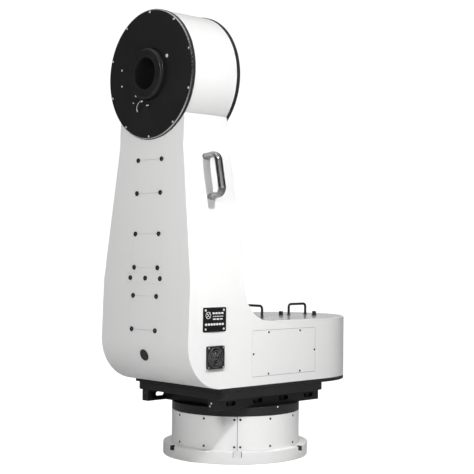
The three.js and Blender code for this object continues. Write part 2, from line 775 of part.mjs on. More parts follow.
function place(name, solid, color, metalness = 0.2, roughness = 0.6) {
  const material = new THREE.MeshStandardMaterial({ color, metalness, roughness });
  const mesh = new THREE.Mesh(toGeometry(solid), material);
  mesh.name = name;
  group.add(mesh);
}

const WHITE = 0xe8e8e6;
const BLACK = 0x1c1c1e;
const STEEL = 0xb8bcc0;
const ALUMINIUM = 0xc8cacc;
const COPPER = 0xb87333;
const MAGNET = 0x5a5d60;
const GREY = 0xa9abad;
const GREEN = 0x1f6b3a;

place('base_flange', baseFlange(), WHITE);
place('pedestal_tube', pedestalTube(), WHITE);
place('drum_cover_near', halfDrumCover(0), WHITE);
place('drum_cover_far', halfDrumCover(1), WHITE);
place('drum_cover_hoop', drumCoverHoop(), ALUMINIUM, 0.8, 0.4);
place('azimuth_outer_race', azimuthOuterRace(), STEEL, 0.9, 0.3);
place('azimuth_stator', azimuthStator(), COPPER, 0.8, 0.4);
place('azimuth_readhead', azimuthReadhead(), BLACK);
place('azimuth_roller_ring', azimuthRollerRing(), STEEL, 0.9, 0.3);

place('azimuth_inner_race', azimuthInnerRace(), STEEL, 0.9, 0.3);
place('azimuth_spindle', azimuthSpindle(), ALUMINIUM, 0.8, 0.4);
place('azimuth_rotor', azimuthRotor(), MAGNET, 0.8, 0.4);
place('azimuth_encoder_ring', azimuthEncoderRing(), STEEL, 0.9, 0.3);
place('azimuth_ring', azimuthRing(), BLACK);
place('turntable_frame', turntableFrame(), BLACK);
place('deck_plate', deckPlate(), BLACK);
place('pan_plate', panPlate(), BLACK);
place('body_shell', bodyShell(), WHITE);
place('arm_column', armColumn(), ALUMINIUM, 0.8, 0.4);
place('rear_cover_upper', rearCover(0), WHITE);
place('rear_cover_middle', rearCover(1), WHITE);
place('rear_cover_lower', rearCover(2), WHITE);
place('rear_strip', rearStrip(), WHITE);
place('access_panel', accessPanel(), WHITE);
place('cable_plug', cablePlug(), BLACK);
place('top_lid', topLid(), GREY);
place('lid_handle_outer', wireHandle(WIRE_A, true), BLACK);
place('lid_handle_inner', wireHandle(WIRE_B, false), BLACK);
place('grab_handle', grabHandle(), STEEL, 0.9, 0.3);
place('nameplate', nameplate(), BLACK);
place('fan_guard', fanGuard(), BLACK);
place('fan_frame', fanFrame(), BLACK);
place('fan_rotor', fanRotor(), BLACK);
for (const knob of KNOBS) {
  place(knob.name, lidKnob(knob), BLACK);
}

place('altitude_housing', altitudeHousing(), ALUMINIUM, 0.8, 0.4);
place('head_shell', headShell(), WHITE);
place('front_disc', frontDisc(), BLACK);
place('cable_clip', cableClip(), BLACK);
place('altitude_outer_race_front', bearingOuter(BEARING_X.front), STEEL, 0.9, 0.3);
place('altitude_outer_race_rear', bearingOuter(BEARING_X.rear), STEEL, 0.9, 0.3);
place('altitude_stator', altitudeStator(), COPPER, 0.8, 0.4);
place('altitude_readhead', altitudeReadhead(), BLACK);

place('altitude_ball_ring_front', ballRing(BEARING_X.front), STEEL, 0.9, 0.3);
place('altitude_ball_ring_rear', ballRing(BEARING_X.rear), STEEL, 0.9, 0.3);

place('altitude_shaft', altitudeShaft(), STEEL, 0.9, 0.3);
place('altitude_hub', altitudeHub(), BLACK);
place('altitude_plate', altitudePlate(), BLACK);
place('altitude_inner_race_front', bearingInner(BEARING_X.front), STEEL, 0.9, 0.3);
place('altitude_inner_race_rear', bearingInner(BEARING_X.rear), STEEL, 0.9, 0.3);
place('altitude_rotor', altitudeRotor(), MAGNET, 0.8, 0.4);
place('altitude_encoder_ring', altitudeEncoderRing(), STEEL, 0.9, 0.3);

place('controller_board', controllerBoard(), GREEN);
place('power_supply', powerSupply(), ALUMINIUM, 0.8, 0.4);
place('azimuth_drive', finnedDrive(30, 20), BLACK);
place('altitude_drive', finnedDrive(220, 20), BLACK);
place('electronics_tray', electronicsTray(), ALUMINIUM, 0.8, 0.4);

export default group;
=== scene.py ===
"""Looks for a single-arm direct-drive telescope mount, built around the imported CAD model.

Geometry is made in millimetres in the CAD frame and scaled to metres once, in to_object().
"""
import json
import math

import bmesh
import bpy
from mathutils import Matrix, Vector


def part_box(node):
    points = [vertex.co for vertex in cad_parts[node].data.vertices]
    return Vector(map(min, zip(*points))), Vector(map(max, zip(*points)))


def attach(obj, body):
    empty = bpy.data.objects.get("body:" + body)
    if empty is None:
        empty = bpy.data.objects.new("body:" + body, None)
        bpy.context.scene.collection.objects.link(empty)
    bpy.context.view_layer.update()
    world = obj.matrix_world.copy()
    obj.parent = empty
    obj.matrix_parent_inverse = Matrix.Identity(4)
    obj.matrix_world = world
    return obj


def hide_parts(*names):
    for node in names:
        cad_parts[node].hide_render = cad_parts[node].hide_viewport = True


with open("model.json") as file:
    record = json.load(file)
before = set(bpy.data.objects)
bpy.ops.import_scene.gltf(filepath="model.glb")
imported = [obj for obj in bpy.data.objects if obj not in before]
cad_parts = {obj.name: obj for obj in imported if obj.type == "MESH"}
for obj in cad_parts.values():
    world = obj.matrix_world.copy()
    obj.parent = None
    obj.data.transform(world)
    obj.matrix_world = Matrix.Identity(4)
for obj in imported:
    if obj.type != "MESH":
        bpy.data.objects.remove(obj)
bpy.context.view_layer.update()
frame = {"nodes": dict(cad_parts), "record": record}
NODES = frame["nodes"]
MM = 0.001


# ------------------------------------------------------------------ sizes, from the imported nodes
def node_box(name):
    """Lowest and highest corner of a CAD node, in millimetres."""
    low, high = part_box(name)
    return low / MM, high / MM


def middle(name):
    low, high = node_box(name)
    return (low + high) / 2


flange_high = node_box("base_flange")[1]
drum_low, drum_high = node_box("drum_cover_near")
ring_low, ring_high = node_box("azimuth_ring")
rails_low, rails_high = node_box("turntable_frame")
deck_low, deck_high = node_box("deck_plate")
pan_low, pan_high = node_box("pan_plate")
lid_low, lid_high = node_box("top_lid")
disc_low, disc_high = node_box("front_disc")
plate_low, plate_high = node_box("altitude_plate")
head_low, head_high = node_box("head_shell")
hub_low, hub_high = node_box("altitude_hub")
shaft_low, shaft_high = node_box("altitude_shaft")
panel_low, panel_high = node_box("access_panel")
name_low, name_high = node_box("nameplate")
guard_low, guard_high = node_box("fan_guard")
strip_low, strip_high = node_box("rear_strip")

FLANGE_R = flange_high.x
FLANGE_TOP = flange_high.z
RING_R = ring_high.x
BOX_TOP = lid_high.z
BODY_HALF = pan_high.y
PAN_TOP = pan_high.z
BOX_END_CX = pan_high.x - BODY_HALF
HEAD_Z = (disc_low.z + disc_high.z) / 2
DISC_R = disc_high.y
HEAD_R = head_high.y

# sizes that no box gives, in millimetres
FIT = 0.3  # room between parts that fit together
DRUM_R = 250.0
SEAM_DEG = -132  # the drum's first seam, in degrees about the azimuth axis
NECK_HALF = 183  # half the arm's width at the head
TAPER_LOW, TAPER_HIGH = 675, 1170  # heights between which the arm narrows
SHELL = 6  # wall of the painted body
COVER = 3  # covers let into the outer face
SHEET = 2.5  # drum covers
HEEL = (-307, 458, 165)  # arcs of the side outline: x, z, radius
THROAT = (-61, 665, 135)
OUTER_X = -472.2  # outer face at the height of the heel's centre
OUTER_LEAN, INNER_LEAN = 0.0386, 0.035  # how far each face leans in for its height
NECK_X, NECK_LOW, SHOULDER = -231, 1188, 1110  # inner face of the neck, its foot, and the shoulder
BORE_R = 59.5  # bore through the altitude group
BITE = 0.1  # how far small parts sink into what they lie on
OVER = 2  # how far a cutter runs past what it cuts
RUN = 2  # room round what turns


def outer_x(z):
    return OUTER_X + OUTER_LEAN * (z - HEEL[1])


def inner_x(z):
    return THROAT[0] - THROAT[2] - INNER_LEAN * (z - THROAT[1])


def half_width(z):
    t = min(max((z - TAPER_LOW) / (TAPER_HIGH - TAPER_LOW), 0), 1)
    return BODY_HALF + t * (NECK_HALF - BODY_HALF)


# ------------------------------------------------------------------ mesh kit
PLANE_Z = Matrix.Identity(4)  # outline (x, y), extruded along z
PLANE_Y = Matrix(((1, 0, 0, 0), (0, 0, 1, 0), (0, 1, 0, 0), (0, 0, 0, 1)))  # outline (x, z), along y
PLANE_X = Matrix(((0, 0, 1, 0), (1, 0, 0, 0), (0, 1, 0, 0), (0, 0, 0, 1)))  # outline (y, z), along x
AXIS_X = Matrix.Translation((0, 0, HEAD_Z)) @ PLANE_X  # (r, h): h runs along x about the altitude axis


def facing(point, normal, spin=0.0):
    """A placement with its Z along normal."""
    turn = Vector(normal).normalized().to_track_quat("Z", "Y").to_matrix().to_4x4()
    return Matrix.Translation(Vector(point)) @ turn @ Matrix.Rotation(spin, 4, "Z")


def arc(cx, cy, r, start, end, steps):
    angles = [math.radians(start + (end - start) * i / steps) for i in range(steps + 1)]
    return [(cx + r * math.cos(a), cy + r * math.sin(a)) for a in angles]


def rounded(x0, x1, y0, y1, r, steps=6):
    return (arc(x1 - r, y0 + r, r, -90, 0, steps) + arc(x1 - r, y1 - r, r, 0, 90, steps)
            + arc(x0 + r, y1 - r, r, 90, 180, steps) + arc(x0 + r, y0 + r, r, 180, 270, steps))


def lathe(bm, points, segments=96, place=PLANE_Z, closed=True, shape=None):
    """Turns (radius, height) points about Z. shape(k, angle) scales the radius of point k's ring."""
    rings = []
    for k, (r, h) in enumerate(points):
        if r < 1e-6:
            rings.append([bm.verts.new(place @ Vector((0, 0, h)))] * segments)
            continue
        ring = []
        for i in range(segments):
            a = 2 * math.pi * i / segments
            rr = r * (shape(k, a) if shape else 1)
            ring.append(bm.verts.new(place @ Vector((rr * math.cos(a), rr * math.sin(a), h))))
        rings.append(ring)
    following = rings[1:] + (rings[:1] if closed else [])
    for a, b in zip(rings, following):
        for i in range(segments):
            j = (i + 1) % segments
            quad = []
            for v in (a[i], a[j], b[j], b[i]):
                if v not in quad:
                    quad.append(v)
            if len(quad) > 2:
                bm.faces.new(quad)


def prism(bm, outline, low, high, place=PLANE_Z):
    bottom = [bm.verts.new(place @ Vector((x, y, low))) for x, y in outline]
    top = [bm.verts.new(place @ Vector((x, y, high))) for x, y in outline]
    bm.faces.new(list(reversed(bottom)))
    bm.faces.new(top)
    n = len(outline)
    for i in range(n):
        j = (i + 1) % n
        bm.faces.new((bottom[i], bottom[j], top[j], top[i]))


def block(bm, x0, x1, y0, y1, z0, z1, place=PLANE_Z):
    prism(bm, [(x0, y0), (x1, y0), (x1, y1), (x0, y1)], z0, z1, place)


def round_path(points, bend, steps=8):
    """A polyline with its corners rounded by arcs of radius bend."""
    points = [Vector(p) for p in points]
    path = [points[0]]
    for before, corner, after in zip(points, points[1:], points[2:]):
        u, w = (before - corner).normalized(), (after - corner).normalized()
        half = u.angle(w) / 2
        reach = bend / math.tan(half)
        centre = corner + (u + w).normalized() * (bend / math.sin(half))
        start, end = corner + u * reach - centre, corner + w * reach - centre
        axis, sweep = start.cross(end).normalized(), start.angle(end)
        for i in range(steps + 1):
            path.append(centre + Matrix.Rotation(sweep * i / steps, 3, axis) @ start)
    path.append(points[-1])
    return path


def tube(bm, path, r, segments=24):
    """A round bar along a path, with closed ends. r is a number or one radius for each point."""
    radii = r if isinstance(r, list) else [r] * len(path)
    tangents = []
    for i in range(len(path)):
        a, b = path[max(i - 1, 0)], path[min(i + 1, len(path) - 1)]
        tangents.append((b - a).normalized())
    side = tangents[0].orthogonal().normalized()
    rings = []
    for point, tangent, radius in zip(path, tangents, radii):
        side = (side - tangent * side.dot(tangent)).normalized()
        other = tangent.cross(side)
        rings.append([bm.verts.new(point + (side * math.cos(a) + other * math.sin(a)) * radius)
                      for a in (2 * math.pi * i / segments for i in range(segments))])
    for a, b in zip(rings, rings[1:]):
        for i in range(segments):
            j = (i + 1) % segments
            bm.faces.new((a[i], a[j], b[j], b[i]))
    bm.faces.new(list(reversed(rings[0])))
    bm.faces.new(rings[-1])


SIDES = 24  # facets round a screw head, a multiple of six for the hex socket


def hexagon(angle):
    """Radius of a hexagon of unit apothem at an angle."""
    return 1 / math.cos((angle % (math.pi / 3)) - math.pi / 6)


def screw(bm, place, r, height, kind="cap"):
    """A screw head standing on its placement: socket cap, socket button, or flat with a socket."""
    if kind == "cap":
        edge = 0.16 * r
        outside = [(r * 0.94, -0.6), (r, 0), (r, height - edge), (r - edge, height)]
        socket, depth = 0.52 * r, 0.75 * height
    elif kind == "button":
        outside = [(r * 0.97, -0.6), (r, 0), (r * 0.93, height * 0.45), (r * 0.76, height * 0.8),
                   (r * 0.58, height)]
        socket, depth = 0.42 * r, 0.6 * height
    else:
        outside = [(r * 0.9, -1.5), (r, 0), (r * 0.97, height)]
        socket, depth = 0.45 * r, 1.2
    points = outside + [(socket, height), (socket * 0.96, height - 0.2 * depth),
                        (socket * 0.96, height - depth)]
    first = len(outside)
    lathe(bm, [(0, outside[0][1])] + points + [(0, height - depth - 0.15 * socket)], SIDES, place,
          closed=False, shape=lambda k, a: hexagon(a) if k > first else 1)


def to_object(name, bm):
    """Welds, orients and scales a millimetre mesh, and links it as an object in metres."""
    bmesh.ops.remove_doubles(bm, verts=bm.verts, dist=1e-4)
    bmesh.ops.recalc_face_normals(bm, faces=bm.faces)
    bm.transform(Matrix.Scale(MM, 4))
    mesh = bpy.data.meshes.new(name)
    bm.to_mesh(mesh)
    bm.free()
    obj = bpy.data.objects.new(name, mesh)
    bpy.context.scene.collection.objects.link(obj)
    return obj


def made(build, *args, **kwargs):
    bm = bmesh.new()
    build(bm, *args, **kwargs)
    return to_object("tool", bm)


def apply_modifiers(obj):
    bpy.context.view_layer.update()
    evaluated = obj.evaluated_get(bpy.context.evaluated_depsgraph_get())
    mesh = bpy.data.meshes.new_from_object(evaluated)
    obj.modifiers.clear()
    old = obj.data
    obj.data = mesh
    bpy.data.meshes.remove(old)


def carve(obj, *tools, operation="DIFFERENCE"):
    """Cuts obj with tools, keeps what they share or joins them to it, and uses the tools up."""
    for tool in tools:
        step = obj.modifiers.new("carve", "BOOLEAN")
        step.operation, step.object, step.solver = operation, tool, "EXACT"
        apply_modifiers(obj)
        bpy.data.objects.remove(tool)
    return obj


def soften(obj, width, steps=2, angle=32):
    """Bevels the hard edges of the mesh itself, by width in millimetres."""
    step = obj.modifiers.new("soften", "BEVEL")
    step.width, step.segments, step.limit_method = width * MM, steps, "ANGLE"
    step.angle_limit = math.radians(angle)
    step.use_clamp_overlap = True
    apply_modifiers(obj)
    return obj


def piece(obj, name, body, material, edge=0.0, steps=2, replaces=(), smooth=40):
    """Finishes an object as a named piece of the visual model."""
    obj.name = obj.data.name = name
    obj.data.materials.clear()
    obj.data.materials.append(material)
    obj.data.shade_smooth()
    if edge:
        bevel = obj.modifiers.new("edges", "BEVEL")
        bevel.width, bevel.segments, bevel.limit_method = edge * MM, steps, "ANGLE"
        bevel.angle_limit = math.radians(smooth)
        bevel.harden_normals = True
    else:
        obj.data.set_sharp_from_angle(angle=math.radians(smooth))
    normals = obj.modifiers.new("normals", "WEIGHTED_NORMAL")
    normals.keep_sharp = True
    normals.weight = 50
    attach(obj, body)
    if replaces:
        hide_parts(*replaces)
    return obj


# ------------------------------------------------------------------ materials
class Surface:
    """A Principled material with procedural colour, roughness, bump, and edges lightened by wear and by a
    painted highlight.
    """

    def __init__(self, name, colour, roughness, metallic=0.0):
        self.material = bpy.data.materials.new(name)
        self.material.use_nodes = True
        self.nodes = self.material.node_tree.nodes
        self.links = self.material.node_tree.links
        self.shader = self.nodes["Principled BSDF"]
        self.shader.inputs["Metallic"].default_value = metallic
        self.material.diffuse_color = (*colour, 1)
        self.coords = self.nodes.new("ShaderNodeTexCoord")
        self.colour = self.nodes.new("ShaderNodeRGB").outputs[0]
        self.colour.default_value = (*colour, 1)
        self.base_roughness = roughness
        self.roughness = None
        self.heights = []

    def noise(self, scale, detail=3.0, stretch=(1, 1, 1), roughness=0.5):
        mapping = self.nodes.new("ShaderNodeMapping")
        mapping.inputs["Scale"].default_value = stretch
        self.links.new(self.coords.outputs["Object"], mapping.inputs["Vector"])
        texture = self.nodes.new("ShaderNodeTexNoise")
        texture.inputs["Scale"].default_value = scale
        texture.inputs["Detail"].default_value = detail
        texture.inputs["Roughness"].default_value = roughness
        self.links.new(mapping.outputs[0], texture.inputs["Vector"])
        return texture.outputs["Fac"]

    def spread(self, value, low, high, start=0.3, end=0.7):
        node = self.nodes.new("ShaderNodeMapRange")
        for key, number in (("From Min", start), ("From Max", end), ("To Min", low), ("To Max", high)):
            node.inputs[key].default_value = number
        self.links.new(value, node.inputs["Value"])
        return node.outputs["Result"]

    def mix(self, factor, other):
        node = self.nodes.new("ShaderNodeMix")
        node.data_type = "RGBA"
        self.links.new(factor, node.inputs[0])
        self.links.new(self.colour, node.inputs[6])
        if isinstance(other, tuple):
            node.inputs[7].default_value = (*other, 1)
        else:
            self.links.new(other, node.inputs[7])
        self.colour = node.outputs[2]
        return self

    def math(self, operation, a, b):
        node = self.nodes.new("ShaderNodeMath")
        node.operation = operation
        for socket, value in zip(node.inputs, (a, b)):
            if isinstance(value, (int, float)):
                socket.default_value = value
            else:
                self.links.new(value, socket)
        return node.outputs[0]

    def mottled(self, scale, other, amount, detail=4.0, stretch=(1, 1, 1)):
        """Patches of another colour: scale in cells a metre, amount up to 1."""
        return self.mix(self.spread(self.noise(scale, detail, stretch), 0, amount), other)

    def rough(self, scale, amount, stretch=(1, 1, 1), detail=4.0):
        change = self.spread(self.noise(scale, detail, stretch), -amount, amount)
        self.roughness = self.math("ADD", self.roughness, change) if self.roughness else change
        return self

    def bump(self, scale, depth_mm, stretch=(1, 1, 1), detail=2.0):
        """Surface texture: scale in cells a metre, depth in millimetres."""
        self.heights.append((self.noise(scale, detail, stretch), depth_mm * MM))
        return self

    def edge_wear_and_highlight(self, radius_mm, other, amount):
        """Edges within radius_mm turn towards another colour, unevenly: partly wear, partly a painted edge
        highlight.
        """
        bevel = self.nodes.new("ShaderNodeBevel")
        bevel.samples = 4
        bevel.inputs["Radius"].default_value = radius_mm * MM
        geometry = self.nodes.new("ShaderNodeNewGeometry")
        dot = self.nodes.new("ShaderNodeVectorMath")
        dot.operation = "DOT_PRODUCT"
        self.links.new(bevel.outputs[0], dot.inputs[0])
        self.links.new(geometry.outputs["Normal"], dot.inputs[1])
        edge = self.spread(dot.outputs["Value"], 1.0, 0.0, 0.80, 0.985)
        patchy = self.spread(self.noise(60, 5), 0.15, 1.0)
        return self.mix(self.math("MULTIPLY", self.math("MULTIPLY", edge, patchy), amount), other)

    def done(self, **inputs):
        for key, value in inputs.items():
            self.shader.inputs[key.replace("_", " ")].default_value = value
        self.links.new(self.colour, self.shader.inputs["Base Color"])
        if self.roughness:
            total = self.math("ADD", self.roughness, self.base_roughness)
            self.links.new(total, self.shader.inputs["Roughness"])
        else:
            self.shader.inputs["Roughness"].default_value = self.base_roughness
        normal = None
        for height, depth in self.heights:
            bump = self.nodes.new("ShaderNodeBump")
            bump.inputs["Strength"].default_value = 1.0
            bump.inputs["Distance"].default_value = depth
            self.links.new(height, bump.inputs["Height"])
            if normal:
                self.links.new(normal, bump.inputs["Normal"])
            normal = bump.outputs[0]
        if normal:
            self.links.new(normal, self.shader.inputs["Normal"])
        return self.material


LENGTHWISE_X = (0.03, 1, 1)
LENGTHWISE_Z = (1, 1, 0.03)

# in each material below, the lighter edge colour is partly wear and partly a painted edge highlight
white = (Surface("white_powder_coat", (0.83, 0.83, 0.825), 0.42)
         .mottled(5, (0.80, 0.80, 0.79), 0.5).mottled(70, (0.845, 0.845, 0.84), 0.3)
         .edge_wear_and_highlight(1.2, (0.90, 0.90, 0.90), 0.35)
         .rough(30, 0.05).bump(420, 0.02).bump(1500, 0.006)
         .done(Specular_IOR_Level=0.45))
cast_white = (Surface("white_painted_casting", (0.80, 0.80, 0.795), 0.5)
              .mottled(9, (0.75, 0.75, 0.74), 0.6).edge_wear_and_highlight(1.5, (0.88, 0.88, 0.88), 0.4)
              .rough(40, 0.07).bump(160, 0.05).bump(900, 0.012)
              .done(Specular_IOR_Level=0.4))
black = (Surface("black_anodised", (0.010, 0.010, 0.0105), 0.44)
         .mottled(14, (0.015, 0.015, 0.0155), 0.7).edge_wear_and_highlight(0.9, (0.24, 0.24, 0.245), 0.7)
         .rough(25, 0.05).rough(900, 0.03, LENGTHWISE_X).bump(2200, 0.004, LENGTHWISE_X)
         .done(Specular_IOR_Level=0.38))
black_turned = (Surface("black_anodised_turned", (0.012, 0.012, 0.0125), 0.44)
                .mottled(10, (0.018, 0.018, 0.0185), 0.7).edge_wear_and_highlight(0.8, (0.22, 0.22, 0.225), 0.6)
                .rough(18, 0.05).bump(1800, 0.004)
                .done(Specular_IOR_Level=0.4))
black_wire = (Surface("black_handle_coat", (0.012, 0.012, 0.012), 0.33)
              .mottled(40, (0.022, 0.022, 0.022), 0.6).rough(120, 0.06).bump(1400, 0.01)
              .done(Specular_IOR_Level=0.5))
black_oxide = (Surface("black_oxide_screw", (0.012, 0.012, 0.013), 0.35)
               .mottled(150, (0.03, 0.028, 0.027), 0.5).edge_wear_and_highlight(0.4, (0.16, 0.16, 0.16), 0.5)
               .rough(300, 0.08).bump(2500, 0.006)
               .done(Specular_IOR_Level=0.6))
stainless = (Surface("stainless_screw", (0.62, 0.62, 0.61), 0.3, 1.0)
             .mottled(200, (0.45, 0.45, 0.44), 0.6).rough(400, 0.1).bump(3000, 0.004)
             .done())
bright_screw = (Surface("bright_plated_screw", (0.80, 0.80, 0.79), 0.38, 0.35)
                .mottled(200, (0.62, 0.62, 0.61), 0.5).rough(400, 0.08).bump(3000, 0.004)
                .done())
bright_edge = (Surface("bare_machined_edge", (0.60, 0.60, 0.60), 0.26, 1.0)
               .mottled(30, (0.45, 0.45, 0.45), 0.6).rough(200, 0.06).bump(1800, 0.003).done())
# the grille wires are grey rather than black: a painted sheen standing in for the highlights on thin black
# wires
grille_grey = (Surface("grille_coat_painted_sheen", (0.11, 0.11, 0.11), 0.42)
               .mottled(60, (0.16, 0.16, 0.16), 0.6).rough(200, 0.08).bump(1500, 0.006).done())
steel_tube = (Surface("brushed_steel_tube", (0.36, 0.36, 0.365), 0.24, 1.0)
              .mottled(30, (0.31, 0.31, 0.315), 0.6).rough(260, 0.05, LENGTHWISE_Z)
              .bump(1600, 0.003, LENGTHWISE_Z)
              .done(Anisotropic=0.4))
lid_grey = (Surface("grey_lid_coat", (0.27, 0.27, 0.27), 0.22)
            .mottled(8, (0.24, 0.24, 0.24), 0.6).edge_wear_and_highlight(1.0, (0.62, 0.62, 0.62), 0.5)
            .rough(500, 0.05, LENGTHWISE_X).bump(900, 0.006, LENGTHWISE_X)
            .done(Specular_IOR_Level=0.55))
aluminium = (Surface("raw_aluminium", (0.72, 0.73, 0.74), 0.34, 1.0)
             .mottled(12, (0.6, 0.61, 0.62), 0.5).rough(700, 0.08, LENGTHWISE_X)
             .bump(1600, 0.006, LENGTHWISE_X).done())
ground_steel = (Surface("ground_bearing_steel", (0.56, 0.57, 0.58), 0.22, 1.0)
                .mottled(30, (0.46, 0.47, 0.48), 0.5).rough(500, 0.06).bump(2500, 0.003).done())
copper = (Surface("varnished_windings", (0.40, 0.17, 0.07), 0.35, 0.7)
          .mottled(300, (0.12, 0.06, 0.03), 0.8, 2, (1, 1, 0.1)).rough(200, 0.1)
          .bump(500, 0.15, (1, 1, 0.1)).done())
magnet = (Surface("nickel_magnets", (0.32, 0.32, 0.33), 0.3, 1.0)
          .mottled(60, (0.22, 0.22, 0.23), 0.6).rough(200, 0.08).bump(1500, 0.005).done())
enamel = (Surface("black_enamel", (0.004, 0.004, 0.0042), 0.42)
          .mottled(60, (0.007, 0.007, 0.007), 0.6).edge_wear_and_highlight(0.5, (0.10, 0.10, 0.10), 0.5)
          .rough(200, 0.05).bump(1500, 0.004).done(Specular_IOR_Level=0.2))
engraved = (Surface("pale_engraving", (0.80, 0.80, 0.79), 0.5)
            .mottled(250, (0.62, 0.62, 0.61), 0.5).rough(400, 0.1).bump(2500, 0.01).done())
plastic = (Surface("black_moulded_plastic", (0.006, 0.006, 0.0065), 0.45)
           .mottled(90, (0.010, 0.010, 0.010), 0.6).rough(500, 0.08).bump(1100, 0.02)
           .done(Specular_IOR_Level=0.45))
rubber = (Surface("moulded_rubber", (0.016, 0.016, 0.016), 0.6)
          .mottled(90, (0.03, 0.03, 0.03), 0.6).rough(300, 0.1).bump(700, 0.04).done())
solder_mask = (Surface("solder_mask", (0.02, 0.16, 0.06), 0.35)
               .mottled(300, (0.01, 0.09, 0.035), 0.7).rough(300, 0.08).bump(900, 0.03).done())
zinc = (Surface("zinc_plate", (0.60, 0.61, 0.62), 0.38, 1.0)
        .mottled(25, (0.45, 0.46, 0.48), 0.7, 2).rough(60, 0.1).bump(800, 0.006).done())

SLOT_MATERIALS = {
    "white_paint": white, "black_anodised": black, "grey_lid": lid_grey, "raw_aluminium": aluminium,
    "bearing_steel": ground_steel, "motor_windings": copper, "motor_magnets": magnet,
    "handle_steel": steel_tube, "plate_black": enamel, "black_plastic": plastic,
    "plug_rubber": rubber, "circuit_board": solder_mask, "zinc_case": zinc,
}
for part in frame["record"]["subparts"]:
    cad = NODES[part["node"]]
    cad.data.materials.clear()
    cad.data.materials.append(SLOT_MATERIALS[part["material_slot"]])

# ------------------------------------------------------------------ base
NOTCH = {"count": 6, "width": 33, "floor": 27, "inner": 252, "bolt": 7}


def turned_to(degrees):
    return Matrix.Rotation(math.radians(degrees), 4, "Z")


flange = made(lathe, [(0, 0), (FLANGE_R - 2, 0), (FLANGE_R, 2), (FLANGE_R, FLANGE_TOP - 2.5),
                      (FLANGE_R - 0.7, FLANGE_TOP - 0.7), (FLANGE_R - 2.5, FLANGE_TOP),
                      (206, FLANGE_TOP), (206, 15), (0, 15)], 192, closed=False)
for i in range(NOTCH["count"]):
    turn = turned_to(SEAM_DEG + 60 * i)
    half = NOTCH["width"] / 2
    pocket = made(prism, [(FLANGE_R + 6, -half), (FLANGE_R + 6, half), (NOTCH["inner"], half),
                          (NOTCH["inner"], -half)], NOTCH["floor"], FLANGE_TOP + 6, turn)
    hole = made(lathe, [(0, -5), (NOTCH["bolt"], -5), (NOTCH["bolt"], 40), (0, 40)], 32,
                turn @ Matrix.Translation((NOTCH["inner"] + 16, 0, 0)), closed=False)
    carve(flange, pocket, hole)
piece(flange, "flange_casting", "base", cast_white, edge=0.9, replaces=["base_flange"])

# a dark rubber strip lines each wall of a notch: painted shade for the deep, dark sides of the notch
NOTCH_SHADE_INNER, NOTCH_SHADE_THICK = 262, 1.4
bm = bmesh.new()
for i in range(NOTCH["count"]):
    turn, half = turned_to(SEAM_DEG + 60 * i), NOTCH["width"] / 2
    for side in (-1, 1):
        near, far = sorted((side * (half - NOTCH_SHADE_THICK), side * (half + BITE)))
        block(bm, NOTCH_SHADE_INNER, FLANGE_R - 0.8, near, far, NOTCH["floor"] - BITE, FLANGE_TOP - 1.5, turn)
piece(to_object("notch_shade", bm), "flange_notch_shade_strips", "base", rubber, edge=0.3)

SEAMS = (SEAM_DEG, SEAM_DEG + 180)
SEAM_HALF, SEAM_SHADE_HALF, SEAM_SHADE_SUNK = 0.2, 0.19, 1  # degrees, degrees, millimetres
for seam, node in zip(SEAMS, ("drum_cover_near", "drum_cover_far")):
    start, end = seam + SEAM_HALF, seam + 180 - SEAM_HALF
    outline = arc(0, 0, DRUM_R, start, end, 96) + arc(0, 0, DRUM_R - SHEET, end, start, 96)
    sheet = made(prism, outline, drum_low.z, drum_high.z)
    piece(sheet, node + "_sheet", "base", white, edge=0.5, replaces=[node])

# a dark strip lies in each seam between the covers: painted shade for the dark gap
bm = bmesh.new()
for seam in SEAMS:
    start, end = seam - SEAM_SHADE_HALF, seam + SEAM_SHADE_HALF
    prism(bm, arc(0, 0, DRUM_R - SEAM_SHADE_SUNK, start, end, 3) + arc(0, 0, DRUM_R - SHEET, end, start, 3),
          drum_low.z, drum_high.z)
piece(to_object("seam_shade", bm), "drum_seam_shade_strips", "base", rubber, smooth=20)

bm = bmesh.new()
for seam in SEAMS:
    for offset in (-60, -30, -2.6, 2.6, 30, 60):
        for height in (60, 162):
            a = math.radians(seam + offset)
            out = Vector((math.cos(a), math.sin(a), 0))
            screw(bm, facing(out * (DRUM_R - BITE) + Vector((0, 0, height)), out), 4.6, 2.2, "button")
piece(to_object("screws", bm), "drum_cover_screws", "base", black_oxide)

# ------------------------------------------------------------------ turntable
RING_BORE, RING_SCREW_Z = 150, 204
ring = made(lathe, [(RING_BORE, ring_low.z), (RING_R, ring_low.z), (RING_R, ring_high.z),
                    (RING_BORE, ring_high.z)], 192)
piece(ring, "turning_ring", "arm", black_turned, edge=1.2, steps=3,
      replaces=["azimuth_ring"])
bm = bmesh.new()
for degrees in (-94, 86):
    a = math.radians(degrees)
    out = Vector((math.cos(a), math.sin(a), 0))
    screw(bm, facing(out * (RING_R - BITE) + Vector((0, 0, RING_SCREW_Z)), out), 3.2, 1.2, "button")
piece(to_object("screws", bm), "turning_ring_screws", "arm", bright_screw)

